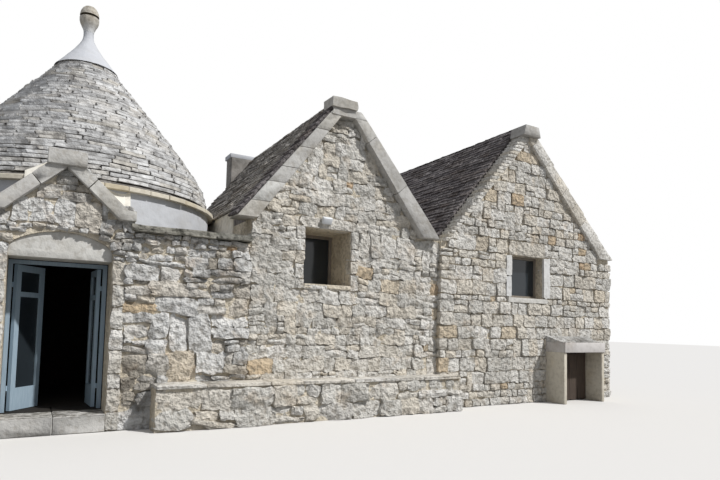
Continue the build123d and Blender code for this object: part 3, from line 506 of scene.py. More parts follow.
shelves, layers = [], {}
for family, shape in stoneShapes.items():
    shelf = bpy.data.collections.new(family)
    bpy.context.scene.collection.children.link(shelf)
    for kind in range(shape["kinds"]):
        block = roughBlock(f"{family}{kind}", shape, 11 * kind + 3)
        for owner in block.users_collection:
            owner.objects.unlink(block)
        shelf.objects.link(block)
    shelves.append(shelf)
    layers[family] = stoneLayer(family, shelf, shape["waves"])
print("stones shaped")


def layStones(name, family, places, finish, standsFor=()):
    # places: (point, turn, size, tint)
    rng = random.Random(name)
    piece = newPiece(name, [place[0] for place in places])
    for key, column in (("turn", 1), ("size", 2)):
        writeAttribute(piece.data, key, "FLOAT_VECTOR", [part for place in places for part in place[column]])
    writeAttribute(piece.data, "tint", "FLOAT", [place[3] for place in places])
    kinds = [rng.randrange(stoneShapes[family]["kinds"]) for place in places]
    writeAttribute(piece.data, "kind", "INT", kinds)
    selectOnly(piece)
    piece.modifiers.new("lay", "NODES").node_group = layers[family]
    bpy.ops.object.modifier_apply(modifier="lay")
    for key in ("turn", "size", "kind"):
        if key in piece.data.attributes:
            piece.data.attributes.remove(piece.data.attributes[key])
    for corner in piece.data.vertices:  # no stone reaches under the ground
        corner.co.z = max(corner.co.z, 0.002)
    print(name, len(places), "stones", len(piece.data.polygons) * 2, "triangles")
    finishPiece(piece, finish, standsFor)


def setBlocks(name, family, blocks, wallY, finish):
    # blocks set square in a front wall: middle x and z, size, tint and how far the face stands out
    places = [(Vector((x, wallY - stand + size[1] / 2, z)), (0, 0, 0), size, tint)
              for (x, z), size, tint, stand in blocks]
    layStones(name, family, places, finish)


def freeStretches(low, high, blocked):
    stretches = [(low, high)]
    for blockLow, blockHigh in blocked:
        stretches = [part for left, right in stretches
                     for part in ((left, min(right, blockLow)), (max(left, blockHigh), right))
                     if part[1] - part[0] > 0.02]
    return sorted(stretches)


def limitsAt(limits, height):
    for (lowZ, lowLeft, lowRight), (highZ, highLeft, highRight) in zip(limits, limits[1:]):
        if lowZ <= height <= highZ and highZ > lowZ:
            share = (height - lowZ) / (highZ - lowZ)
            return lowLeft + (highLeft - lowLeft) * share, lowRight + (highRight - lowRight) * share
    return 0, 0


# A course at least this high may be split thin, and the upper half of a wide stone is cut once more
splitting = {"leastCourse": 0.13, "bed": (0.38, 0.62), "leastWidth": 0.26, "cut": (0.35, 0.65)}
near = 0.01  # lengths closer than this are taken as equal


def courseRows(laying, limits, openings, rng):
    # uneven courses that meet the sills and heads
    foot, top = limits[0][0], limits[-1][0]
    marks = sorted({foot, top} | {z for opening in openings for z in opening[2:4] if foot <= z <= top})
    rows = []
    for low, high in zip(marks, marks[1:]):
        count = max(1, round((high - low) / laying["course"]))
        shares = [rng.uniform(0.6, 1.4) for row in range(count)]
        edge = low
        for place, share in enumerate(shares):
            nextEdge = edge + (high - low) * share / sum(shares)
            rows.append((edge, nextEdge, place < count - 1))
            edge = nextEdge
    return rows


def courseCells(laying, limits, openings, rng):
    # some stones are two courses tall and some are split thin
    rows = courseRows(laying, limits, openings, rng)
    cells, taken = [], []
    for place, (low, high, canGrow) in enumerate(rows):
        left, right = limitsAt(limits, (low + high) / 2)
        blocked = [opening[:2] for opening in openings
                   if opening[2] < high - near and opening[3] > low + near]
        blocked += taken
        taken = []
        for edge, stretchRight in freeStretches(left, right, blocked):
            while edge < stretchRight - near:
                width = (high - low) * rng.uniform(*laying["shape"])
                width = min(max(width, laying["narrow"]), laying["wide"])
                if stretchRight - edge - width < laying["narrow"]:
                    width = stretchRight - edge
                    if width > laying["wide"]:
                        width = width / 2
                top = high
                choice = rng.random()
                if canGrow and choice < laying["tall"] and high - low < laying["course"] * 1.1:
                    top = rows[place + 1][1]
                    taken.append((edge, edge + width))
                if top == high and choice > 1 - laying["thin"] and high - low > splitting["leastCourse"]:
                    middle = low + (high - low) * rng.uniform(*splitting["bed"])
                    cells.append((edge, edge + width, low, middle))
                    cuts = [edge, edge + width]
                    if width > splitting["leastWidth"]:
                        cuts.insert(1, edge + width * rng.uniform(*splitting["cut"]))
                    cells += [(*pair, middle, high) for pair in zip(cuts, cuts[1:])]
                else:
                    cells.append((edge, edge + width, low, top))
                edge += width
    return cells


paleTints = 0.78  # the part of a finish's colours that isn't rust


def wallStones(name, laying, limits, openings, corner, turn, finish):
    # corner is the wall plane's point at 0; turn is how far the wall faces round from the front
    rng = random.Random(name)
    along = Vector((math.cos(turn), math.sin(turn), 0))
    outward = Vector((math.sin(turn), -math.cos(turn), 0))
    places = []
    for left, right, low, high in courseCells(laying, limits, openings, rng):
        gap = rng.uniform(*laying["joint"])
        stand = rng.uniform(*laying["stand"])
        wide, tall = max(0.04, right - left - gap), max(0.03, high - low - gap)
        centre = Vector(corner) + along * (left + right) / 2 + up * (low + high) / 2
        centre += outward * (stand - laying["depth"] / 2)
        slant = rng.gauss(0, laying["slant"])
        tint = rng.random() if rng.random() < laying["rust"] else rng.random() * paleTints
        lean = [rng.gauss(0, laying["lean"]) for axis in range(2)]
        places.append((centre, (lean[0], slant, turn + lean[1]),
                       (wide * laying["fill"], laying["depth"], tall * laying["fill"]), tint))
    layStones(name, laying["family"], places, finish)


gableLaying = {"family": "rubble", "course": 0.165, "shape": (0.8, 2.0), "narrow": 0.09, "wide": 0.36,
               "tall": 0.2, "thin": 0.3, "joint": (0.004, 0.014), "stand": (0.016, 0.040), "depth": 0.13,
               "slant": 0.09, "lean": 0.05, "fill": 1.07, "rust": 0.16}
squaredLaying = {"family": "squared", "course": 0.185, "shape": (0.8, 1.9), "narrow": 0.13, "wide": 0.38,
                 "tall": 0.10, "thin": 0.16, "joint": (0.010, 0.026), "stand": (0.020, 0.052), "depth": 0.14,
                 "slant": 0.035, "lean": 0.05, "fill": 1.03, "rust": 0.30}
oldLaying = {"family": "rubble", "course": 0.21, "shape": (0.9, 2.4), "narrow": 0.11, "wide": 0.52,
             "tall": 0.16, "thin": 0.36, "joint": (0.004, 0.02), "stand": (0.006, 0.060), "depth": 0.18,
             "slant": 0.08, "lean": 0.10, "fill": 1.06, "rust": 0.12}

# Where the walls stand, from the CAD nodes
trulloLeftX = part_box("trullo_left_wall")[0].x
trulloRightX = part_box("trullo_right_wall")[1].x
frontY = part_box("trullo_front_wall_left")[0].y
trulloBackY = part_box("trullo_back_wall")[1].y
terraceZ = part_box("trullo_back_wall")[1].z
doorLow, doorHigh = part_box("door_threshold")
lintelLow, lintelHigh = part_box("door_lintel")
gableLow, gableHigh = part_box("door_gable_wall")
chimneyLow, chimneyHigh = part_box("chimney")
benchLow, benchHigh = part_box("bench_base")
valleyX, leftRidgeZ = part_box("lamia_left_front_wall")[1].xz
rightX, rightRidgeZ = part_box("lamia_right_front_wall")[1].xz
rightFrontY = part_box("lamia_right_front_wall")[0].y
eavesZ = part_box("lamia_left_roof_left")[0].z
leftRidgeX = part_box("lamia_left_roof_right")[0].x
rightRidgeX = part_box("lamia_right_roof_right")[0].x
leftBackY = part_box("lamia_left_back_wall")[1].y
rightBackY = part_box("lamia_right_back_wall")[1].y


def upright(low, high, top):
    return [(0, low, high), (top, low, high)]


def mirrored(limits):
    return [(z, -right, -left) for z, left, right in limits]


# limits of a wall: height, left and right; openings: left, right, bottom and top
leftSlopeFoot, rightSlopeFoot = (1.984, 4.716), (5.24, 9.04)
wrap = 0.025  # how far corner stones stand out past the wall they turn into
trulloFront = upright(trulloLeftX, trulloRightX, terraceZ)
leftGable = upright(trulloRightX, valleyX, eavesZ)
leftGable += [(eavesZ, *leftSlopeFoot), (leftRidgeZ, leftRidgeX, leftRidgeX)]
rightGable = upright(valleyX - wrap, rightX + wrap, eavesZ) + [
    (eavesZ, *rightSlopeFoot), (rightRidgeZ, rightRidgeX, rightRidgeX)]
doorGable = [(gableLow.z, gableLow.x, gableHigh.x), (2.48, gableLow.x, gableHigh.x), (2.48, -0.81, 0.27),
             (gableHigh.z, -0.27, -0.27)]
leftOpenings = [(2.62, 3.61, 1.81, 2.67), (2.66, 3.57, 2.67, 2.835)]
rightOpenings = [(6.69, 7.49, 1.85, 2.60), (6.57, 6.69, 1.85, 2.60), (7.49, 7.66, 1.85, 2.60),
                 (6.60, 7.60, 2.60, 2.86), (6.60, 7.60, 1.76, 1.85)]
lintelMiddle = (lintelLow.x + lintelHigh.x) / 2
doorOpenings = [(doorLow.x - 0.14, doorHigh.x + 0.14, 0, lintelLow.z)]
for half, low, high in ((0.53, lintelLow.z, 2.12), (0.49, 2.12, 2.22), (0.36, 2.22, 2.29)):
    doorOpenings.append((lintelMiddle - half, lintelMiddle + half, low, high))
chimneyStretch = (-chimneyHigh.x, -chimneyLow.x, 0, leftRidgeZ)

wallStones("trullo_front_stones", oldLaying, trulloFront, doorOpenings, (0, frontY, 0), 0,
           "limestoneOldRubble")
wallStones("door_gable_stones", gableLaying, doorGable, [], (0, frontY, 0), 0, "limestoneOldRubble")
wallStones("lamia_left_front_stones", gableLaying, leftGable, leftOpenings, (0, frontY, 0), 0,
           "limestoneRubble")
wallStones("lamia_right_front_stones", squaredLaying, rightGable, rightOpenings, (0, rightFrontY, 0), 0,
           "limestoneRubble")
wallStones("lamia_right_side_stones", squaredLaying, upright(rightFrontY, rightBackY, eavesZ), [],
           (rightX, 0, 0), math.pi / 2, "limestoneRubble")
wallStones("lamia_right_back_stones", squaredLaying, mirrored(rightGable), [], (0, rightBackY, 0), math.pi,
           "limestoneRubble")
wallStones("lamia_left_back_stones", gableLaying, mirrored(leftGable), [chimneyStretch], (0, leftBackY, 0),
           math.pi, "limestoneRubble")
wallStones("trullo_back_stones", oldLaying, mirrored(trulloFront), [], (0, trulloBackY, 0), math.pi,
           "limestoneOldRubble")
wallStones("trullo_left_stones", oldLaying, upright(-trulloBackY, -frontY, terraceZ), [], (trulloLeftX, 0, 0),
           -math.pi / 2, "limestoneOldRubble")
wallStones("bench_stones", oldLaying, upright(benchLow.x, benchHigh.x, benchHigh.z), [],
           (0, benchLow.y, 0), 0, "limestoneRubble")


# The cone: rings of split slabs, each a little back from the one below

coneLaying = {"longest": 0.47, "longestShare": 0.42, "shortest": 0.16, "shortestShare": 0.40,
              "lastShare": 0.6, "gap": 0.014, "depth": 0.16, "uneven": 0.010, "inset": 0.036,
              "bed": 0.075, "tall": (0.98, 1.06), "tilt": (1, 5), "lean": 0.012}
# outline of the cone in the photograph, as height and radius
coneOutline = [(2.96, 1.905), (3.26, 1.815), (3.41, 1.735), (3.71, 1.52), (4.01, 1.28), (4.46, 0.905),
               (4.91, 0.535), (5.13, 0.365)]


def outlineRadius(height):
    for (lowZ, lowR), (highZ, highR) in zip(coneOutline, coneOutline[1:]):
        if height <= highZ:
            return lowR + (highR - lowR) * (height - lowZ) / (highZ - lowZ)
    return coneOutline[-1][1]


coneBed = copyOfNode("trullo_cone")
coneBed.name = "cone_bed"
editAll(coneBed)
bpy.ops.mesh.remove_doubles(threshold=0.0002)
endEdit()
reachAt = {}
for corner in coneBed.data.vertices:  # widest corner at each level of the solid
    level = round(corner.co.z, 3)
    reachAt[level] = max(reachAt.get(level, 0), math.hypot(corner.co.x, corner.co.y))
courses, outer = [], 0
for level in sorted(reachAt, reverse=True):
    if reachAt[level] > outer + 0.004:
        outer = reachAt[level]
        courses.append(level)
courses.reverse()
for corner in coneBed.data.vertices:  # the solid's steps follow the outline; its vault stays
    level = round(corner.co.z, 3)
    if math.hypot(corner.co.x, corner.co.y) > reachAt[level] * 0.82 and level in courses:
        follow = (outlineRadius(corner.co.z) - coneLaying["bed"]) / reachAt[level]
        corner.co.x *= follow
        corner.co.y *= follow
bpy.ops.object.shade_flat()
rng = random.Random("cone")
places = []
for low, high in zip(courses, courses[1:]):
    radius = outlineRadius((low + high) / 2)
    angle, full = rng.uniform(0, 1), 0
    longest = min(coneLaying["longest"], radius * coneLaying["longestShare"])
    shortest = max(coneLaying["shortest"], longest * coneLaying["shortestShare"])
    while full < math.tau - 0.01:
        step = rng.uniform(shortest, longest) / radius
        if math.tau - full - step < coneLaying["shortest"] * coneLaying["lastShare"] / radius:
            step = math.tau - full
        middle = angle + full + step / 2
        reach = radius + rng.uniform(-1, 1) * coneLaying["uneven"]
        reach -= coneLaying["inset"] + coneLaying["depth"] / 2
        centre = Vector((math.sin(middle) * reach, -math.cos(middle) * reach, (low + high) / 2))
        tall = (high - low) * rng.uniform(*coneLaying["tall"]) - coneLaying["gap"]
        turn = (math.radians(rng.uniform(*coneLaying["tilt"])), rng.gauss(0, coneLaying["lean"]), middle)
        places.append((centre, turn, (step * radius - coneLaying["gap"], coneLaying["depth"], tall),
                       rng.random()))
        full += step
print("cone courses", len(courses) - 1)
finishPiece(coneBed, "slabBed", ["trullo_cone"])
layStones("cone_slabs", "slab", places, "limestoneSlab")


# The lime cap, spread over the topmost courses, and the finial on it, each spun from its outline

capShape = {"neck": 0.070, "neckAt": 5.60, "round": 0.15, "flare": 0.85, "foot": 5.035, "top": 5.66}
finialShape = {"foot": 5.655, "neck": 0.071, "cup": 0.136, "cupAt": 5.855, "cupTaper": 0.21, "lip": 5.880,
               "groove": 0.108, "grooveAt": (5.893, 5.904), "ball": 0.134, "ballAt": 5.915, "top": 6.078}


def capRadius(height):
    # straight flare that turns up softly into the neck
    drop = max(0, capShape["neckAt"] - height)
    return capShape["neck"] + capShape["flare"] * (math.hypot(drop, capShape["round"]) - capShape["round"])


def cupRadius(height):
    share = (finialShape["cupAt"] - height) / finialShape["cupTaper"]
    swell = 0.5 + 0.5 * math.cos(math.pi * min(1, max(0, share)))
    return finialShape["neck"] + (finialShape["cup"] - finialShape["neck"]) * swell


def ballRadius(height):
    share = (height - finialShape["ballAt"]) / (finialShape["top"] - finialShape["ballAt"])
    return finialShape["ball"] * math.sqrt(max(0, 1 - share * share))


def outlineOf(radius, low, high, count):
    heights = [low + (high - low) * step / count for step in range(count + 1)]
    return [(radius(height), 0, height) for height in heights]


def turnedPiece(name, outline, uneven, finish, standsFor):
    piece = newPiece(name, outline, [(edge, edge + 1) for edge in range(len(outline) - 1)])
    editAll(piece)
    bpy.ops.mesh.spin(steps=48, angle=math.tau, center=(0, 0, 0), axis=(0, 0, 1))
    bpy.ops.mesh.select_all(action="SELECT")
    bpy.ops.mesh.remove_doubles(threshold=0.0001)
    bpy.ops.transform.vertex_random(offset=uneven, seed=4)
    bpy.ops.mesh.normals_make_consistent(inside=False)
    endEdit(40)
    finishPiece(piece, finish, [standsFor])


turnedPiece("lime_cap", outlineOf(capRadius, capShape["foot"], capShape["top"], 14), 0.004, "limewash",
            "cone_cap")
turnedPiece("finial", outlineOf(cupRadius, finialShape["foot"], finialShape["lip"], 10)
            + [(finialShape["groove"], 0, z) for z in finialShape["grooveAt"]]
            + outlineOf(ballRadius, finialShape["ballAt"], finialShape["top"], 8), 0.0025, "wornLimewash",
            "pinnacle")


# Roof slopes: split slabs in rows, each row lapping over the one below

roofRows = {"row": 0.090, "longest": 0.42, "shortest": 0.2, "gap": 0.012, "thick": 0.034, "depth": 0.16,
            "lift": 0.012, "uneven": (-0.006, 0.008), "lap": 8}


def slopeSlabs(name, foot, ridge, frontEnd, backEnd, finish):
    # foot and ridge are x and z
    rng = random.Random(name)
    run, rise = ridge[0] - foot[0], ridge[1] - foot[1]
    slope = math.atan2(rise, abs(run))
    side = 1 if run > 0 else -1
    rowCount = round(math.hypot(run, rise) / roofRows["row"])
    places = []
    for row in range(rowCount):
        share = (row + 0.5) / rowCount
        edge = frontEnd
        while edge < backEnd - 0.01:
            step = rng.uniform(roofRows["shortest"], roofRows["longest"])
            if backEnd - edge - step < roofRows["shortest"]:
                step = backEnd - edge
            lift = roofRows["lift"] + rng.uniform(*roofRows["uneven"])
            centre = Vector((foot[0] + run * share - side * math.sin(slope) * lift, edge + step / 2,
                             foot[1] + rise * share + math.cos(slope) * lift))
            turn = (slope - math.radians(roofRows["lap"] + rng.uniform(-2, 2)), 0, -side * math.pi / 2)
            places.append((centre, turn, (step - roofRows["gap"], roofRows["depth"], roofRows["thick"]),
                           rng.random()))
            edge += step
    layStones(name, "slab", places, finish)


leftRoofLow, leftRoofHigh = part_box("lamia_left_roof_left")
rightRoofLow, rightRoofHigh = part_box("lamia_right_roof_left")
leftRidge, rightRidge = (leftRidgeX, leftRoofHigh.z), (rightRidgeX, rightRoofHigh.z)
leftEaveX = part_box("lamia_left_roof_right")[1].x
for name, foot, ridge, low, high, finish in (
        ("left_roof_slabs_left", (trulloRightX, eavesZ + 0.25), leftRidge, leftRoofLow, leftRoofHigh,
         "limestoneGreySlab"),
        ("left_roof_slabs_right", (leftEaveX, eavesZ), leftRidge, leftRoofLow, leftRoofHigh,
         "limestoneGreySlab"),
        ("right_roof_slabs_left", (valleyX, eavesZ), rightRidge, rightRoofLow, rightRoofHigh,
         "limestoneRoofSlab"),
        ("right_roof_slabs_right", (rightX, 2.72), rightRidge, rightRoofLow, rightRoofHigh,
         "limestoneRoofSlab")):
    slopeSlabs(name, foot, ridge, low.y, high.y, finish)
slopeSlabs("left_verge_slabs", (1.735, 2.755), (3.18, 4.56), frontY - 0.145, frontY + 0.22,
           "limestoneRoofSlab")


# Dressed stones: a copy of the CAD solid is cut at its joints and its edges are worn

def dressedStones(name, nodeName, joints, finish, wear):
    # joints: (point, direction) from the first stone to the last
    whole = copyOfNode(nodeName)
    face = min(corner.co.y for corner in whole.data.vertices)
    for corner in whole.data.vertices:
        if corner.co.y < face + 0.03:
            corner.co.y -= wear.get("forward", 0)
    editAll(whole)
    bpy.ops.mesh.remove_doubles(threshold=0.0002)
    bpy.ops.mesh.dissolve_limited(angle_limit=math.radians(1))
    endEdit()
    rng = random.Random(name)
    stones = []
    for place in range(len(joints) + 1):
        stone = duplicate(whole)
        editAll(stone)
        for joint, side in ((place - 1, 1), (place, -1)):
            if 0 <= joint < len(joints):
                point, direction = joints[joint]
                bpy.ops.mesh.select_all(action="SELECT")
                bpy.ops.mesh.bisect(plane_co=Vector(point) + Vector(direction) * side * wear["joint"] / 2,
                                    plane_no=direction, use_fill=True, clear_inner=side > 0,
                                    clear_outer=side < 0)
        bpy.ops.mesh.select_all(action="DESELECT")
        bpy.ops.mesh.select_mode(type="EDGE")
        bpy.ops.mesh.edges_select_sharp(sharpness=math.radians(25))
        bpy.ops.mesh.bevel(offset=wear["bevel"], segments=2, affect="EDGES", clamp_overlap=True)
        bpy.ops.mesh.select_all(action="SELECT")
        if "cuts" in wear:
            bpy.ops.mesh.subdivide(number_cuts=wear["cuts"])
        bpy.ops.transform.vertex_random(offset=wear["chips"], uniform=0.4, seed=place + 5)
        endEdit()
        if len(stone.data.vertices) and place < wear.get("kept", len(joints) + 1):
            writeAttribute(stone.data, "tint", "FLOAT", [rng.random()] * len(stone.data.vertices))
            stones.append(stone)
        else:
            bpy.data.objects.remove(stone)
    bpy.data.objects.remove(whole)
    piece = joinPieces(name, stones)
    bpy.ops.object.shade_smooth_by_angle(angle=math.radians(32))
    print(name, len(stones), "stones")
    finishPiece(piece, finish, [nodeName])


def jointsAlong(start, end, spacing, seed):
    # joints from start to end at roughly even, slightly uneven, spacing
    start, end = Vector(start), Vector(end)
    rng = random.Random(seed)
    direction = (end - start).normalized()
    count = max(1, round((end - start).length / spacing))
    return [(start.lerp(end, (place + rng.uniform(-0.18, 0.18)) / count), direction)
            for place in range(1, count)]


def levelJoints(heights):
    return [((0, 0, height), (0, 0, 1)) for height in heights]


sawnWear = {"joint": 0.005, "bevel": 0.006, "chips": 0.0015}
copingWear = {"joint": 0.004, "bevel": 0.008, "chips": 0.003, "cuts": 1, "forward": 0.085}
lowCopingWear = {"joint": 0.007, "bevel": 0.010, "chips": 0.003, "cuts": 1, "forward": 0.05}
slabWear = {"joint": 0.007, "bevel": 0.008, "chips": 0.0025, "forward": 0.02}
vergeWear = {"joint": 0.008, "bevel": 0.010, "chips": 0.004}
roughWear = {"joint": 0.008, "bevel": 0.010, "chips": 0.005, "cuts": 1}
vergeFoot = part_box("right_gable_verge")[0].z
vergeBeds = {"count": 31, "height": 0.065}

dressedStones("left_coping_left_slabs", "left_gable_coping_left",
              levelJoints((2.93, 3.22, 3.45, 3.77, 4.08)), "limestoneSawn", copingWear)
dressedStones("left_coping_right_slabs", "left_gable_coping_right",
              jointsAlong((5.06, 0, 2.70), (3.33, 0, 4.70), 0.86, 2), "limestoneSawn", copingWear)
dressedStones("right_coping_slabs", "right_gable_coping",
              jointsAlong((9.40, 0, 2.72), (7.07, 0, 4.98), 0.36, 3), "limestoneVerge", slabWear)
vergeJoints = levelJoints(vergeFoot + bed * vergeBeds["height"] for bed in range(1, vergeBeds["count"]))
dressedStones("right_verge_slabs", "right_gable_verge", vergeJoints, "limestoneVerge", vergeWear)
dressedStones("door_coping_left_slabs", "door_gable_coping_left",
              jointsAlong((-1.03, 0, 2.6), (-0.27, 0, 3.22), 0.6, 5), "limestoneSawn", lowCopingWear)
dressedStones("door_coping_right_slabs", "door_gable_coping_right",
              jointsAlong((0.49, 0, 2.6), (-0.27, 0, 3.22), 0.6, 6), "limestoneSawn", lowCopingWear)
for gable in ("door_gable", "right_gable"):
    dressedStones(gable + "_capstone_worn", gable + "_capstone", [], "limestoneSawn", copingWear)
# the first gable's copings run up to a block, and two flat slabs are laid on it
dressedStones("left_gable_peak", "left_gable_capstone", levelJoints([4.46]), "limestoneSawn",
              {**copingWear, "kept": 1})
setBlocks("left_gable_cap_slabs", "slab", [((3.25, 4.515), (0.41, 0.30, 0.13), 0.9, 0.205),
                                           ((3.25, 4.395), (0.38, 0.26, 0.11), 0.1, 0.165)],
          frontY, "limestoneSawn")
dressedStones("door_lintel_worn", "door_lintel", [], "limestoneSawn", sawnWear)
dressedStones("left_window_head", "left_window_lintel", [], "limeMortar", sawnWear)
dressedStones("left_window_sill_slabs", "left_window_sill",
              jointsAlong((2.74, 0, 0), (3.49, 0, 0), 0.36, 7), "limeMortar", sawnWear)
dressedStones("chimney_cap_worn", "chimney_cap", [], "limewash", sawnWear)
dressedStones("bench_slabs", "bench_slab", jointsAlong((0.75, 0, 0), (5.32, 0, 0), 0.62, 8),
              "limestoneVerge", roughWear)
dressedStones("threshold_slabs", "door_threshold", jointsAlong((-0.80, 0, 0), (0.26, 0, 0), 0.5, 9),
              "limestoneSawn", roughWear)

parapetLaying = {"longest": 0.62, "shortest": 0.34, "thick": 0.075, "depth": 0.46, "overhang": 0.135,
                 "gap": 0.008, "nose": 0.03, "rise": 0.004}
copingLow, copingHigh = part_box("parapet_coping_front")


def parapetRow(start, end, turn, seed):
    # slabs from start to end along a wall top, their noses past the wall's face
    rng = random.Random(seed)
    start, end = Vector((*start, 0)), Vector((*end, 0))
    along = (end - start).normalized()
    outward = Vector((math.sin(turn), -math.cos(turn), 0))
    full, length, row = 0, (end - start).length, []
    while full < length - 0.01:
        step = rng.uniform(parapetLaying["shortest"], parapetLaying["longest"])
        if length - full - step < parapetLaying["shortest"]:
            step = length - full
        nose = parapetLaying["overhang"] + rng.uniform(-0.012, 0.012)
        centre = start + along * (full + step / 2) + outward * (nose - parapetLaying["depth"] / 2)
        centre.z = (copingLow.z + copingHigh.z) / 2 + parapetLaying["rise"] + rng.uniform(-0.004, 0.006)
        size = (step - parapetLaying["gap"], parapetLaying["depth"], parapetLaying["thick"])
        row.append((centre, (rng.gauss(0, 0.01), rng.gauss(0, 0.008), turn), size, rng.random()))
        full += step
    return row


noseX = trulloLeftX - parapetLaying["nose"]
layStones("parapet_front_slabs", "slab", parapetRow((0.44, frontY), (trulloRightX, frontY), 0, 10),
          "limestoneMossy", ["parapet_coping_front"])
layStones("parapet_rear_slabs", "slab",
          parapetRow((noseX, frontY), (-1.03, frontY), 0, 11)
          + parapetRow((trulloLeftX, trulloBackY), (trulloLeftX, frontY), -math.pi / 2, 12)
          + parapetRow((trulloRightX, trulloBackY), (noseX, trulloBackY), math.pi, 13),
          "limestoneMossy")

# the second window's dressed blocks, two on the left, one on the right and a sill, and its rougher head
setBlocks("right_window_surround", "slab",
          [((6.625, 2.41), (0.13, 0.14, 0.36), 0.7, 0.045), ((6.62, 2.04), (0.12, 0.14, 0.36), 0.2, 0.045),
           ((7.575, 2.23), (0.16, 0.14, 0.73), 0.6, 0.045), ((7.10, 1.805), (0.96, 0.14, 0.08), 0.9, 0.045)],
          rightFrontY, "limestoneDressed")
setBlocks("right_window_head", "squared",
          [((7.08, 2.725), (0.92, 0.14, 0.25), 0.62, 0.035), ((7.575, 2.73), (0.10, 0.14, 0.24), 0.4, 0.030)],
          rightFrontY, "limestoneRubble")

# squared stones down the sides of the door and the first window, with the first window's head and sill
jambLaying = {"depth": 0.15, "stand": 0.028, "uneven": 0.012, "joint": 0.012, "wide": 0.14, "gap": 0.005,
              "foot": 0.02, "top": 1.99}
jambs = [(2.61, 2.735, 1.80, 2.68, 5), (3.495, 3.62, 1.80, 2.68, 4)]
for inner in (doorLow.x - jambLaying["gap"] - jambLaying["wide"], doorHigh.x + jambLaying["gap"]):
    jambs.append((inner, inner + jambLaying["wide"], jambLaying["foot"], jambLaying["top"], 8))
rng = random.Random("jambs")
stones = [((3.115, 2.75), (0.90, 0.155), 0.52), ((2.93, 1.83), (0.36, 0.055), 0.3),
          ((3.30, 1.83), (0.37, 0.055), 0.7)]
for left, right, low, high, count in jambs:
    shares = [rng.uniform(0.7, 1.3) for stone in range(count)]
    edge = low
    for share in shares:
        tall = (high - low) * share / sum(shares)
        stones.append((((left + right) / 2, edge + tall / 2), (right - left, tall - jambLaying["joint"]),
                       rng.random() * 0.8))
        edge += tall
blocks = [(middle, (wide, jambLaying["depth"], tall), tint,
           jambLaying["stand"] + rng.uniform(0, jambLaying["uneven"]))
          for middle, (wide, tall), tint in stones]
setBlocks("jamb_stones", "squared", blocks, frontY, "limestoneRubble")

# floodlight on the first window's lintel: a lamp head on a small bracket
floodlight = {"place": (3.06, -2.165, 2.79), "head": (0.15, 0.07, 0.10), "edge": 0.014, "tilt": -28,
              "stem": 0.018, "stemLength": 0.10, "stemBack": 0.03}
selectOnly()
bpy.ops.mesh.primitive_cube_add(size=1)
head = bpy.context.object
editAll(head)
bpy.ops.transform.resize(value=floodlight["head"])
bpy.ops.mesh.bevel(offset=floodlight["edge"], segments=3, affect="EDGES")
bpy.ops.mesh.select_all(action="SELECT")
bpy.ops.transform.rotate(value=math.radians(floodlight["tilt"]), orient_axis="X", center_override=(0, 0, 0))
endEdit()
bpy.ops.mesh.primitive_cylinder_add(radius=floodlight["stem"], depth=floodlight["stemLength"], vertices=16)
stem = bpy.context.object
editAll(stem)
bpy.ops.transform.rotate(value=math.pi / 2, orient_axis="X", center_override=(0, 0, 0))
bpy.ops.transform.translate(value=(0, floodlight["stemBack"], 0))
bpy.ops.mesh.bevel(offset=0.003, segments=1, affect="EDGES")
endEdit()
lamp = joinPieces("floodlight", [head, stem])
lamp.data.transform(Matrix.Translation(floodlight["place"]))
bpy.ops.object.shade_smooth_by_angle(angle=math.radians(35))

# mortar bed over the cabinet, sloped from the wall so that rain runs off
mortarBed = {"inset": 0.02, "depth": 0.40, "thick": 0.10, "nose": 0.16, "edge": 0.012, "slope": 0.30}
bedLow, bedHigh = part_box("cabinet_top")
bedSize = (bedHigh.x - bedLow.x - mortarBed["inset"], mortarBed["depth"])
bed = gridSheet("cabinet_mortar_bed", (16, 6), bedSize, mortarBed["thick"])
endEdit()
for corner in bed.data.vertices:
    if corner.co.z > -mortarBed["thick"] / 2:
        corner.co.z += mortarBed["edge"] + max(0, corner.co.y + mortarBed["nose"]) * mortarBed["slope"]
bed.data.transform(Matrix.Translation(
    ((bedLow.x + bedHigh.x) / 2, rightFrontY - mortarBed["depth"] / 2, bedHigh.z)))
editAll(bed)
bpy.ops.transform.vertex_random(offset=0.010, seed=9)
bpy.ops.mesh.normals_make_consistent(inside=False)
endEdit(40)
finishPiece(bed, "limestoneOldRubble")

# plaster on the first room's left side, from the terrace up to the lowest slabs
sidePlaster = {"back": 1.2, "front": -1.35, "top": 2.93, "out": 0.014, "into": 0.01}
coat = gridSheet("side_plaster", (24, 6),
                 (sidePlaster["back"] - sidePlaster["front"], sidePlaster["top"] - terraceZ),
                 sidePlaster["out"] + sidePlaster["into"])
bpy.ops.transform.vertex_random(offset=0.004, seed=2)
endEdit()
coat.data.transform(
    Matrix.Translation((trulloRightX - sidePlaster["out"], (sidePlaster["back"] + sidePlaster["front"]) / 2,
                        (sidePlaster["top"] + terraceZ) / 2))
    @ Matrix.Rotation(-math.pi / 2, 4, "Z") @ Matrix.Rotation(math.pi / 2, 4, "X"))
bpy.ops.object.shade_smooth_by_angle(angle=math.radians(40))
finishPiece(coat, "limePlaster")

dressedStones("cabinet_top_slab", "cabinet_top", [], "cabinetRender", sawnWear)
dressedStones("cabinet_panel_slabs", "cabinet_panels", [], "limestoneCream", sawnWear)


# Eave ring: curved slabs, spun from one section and copied round

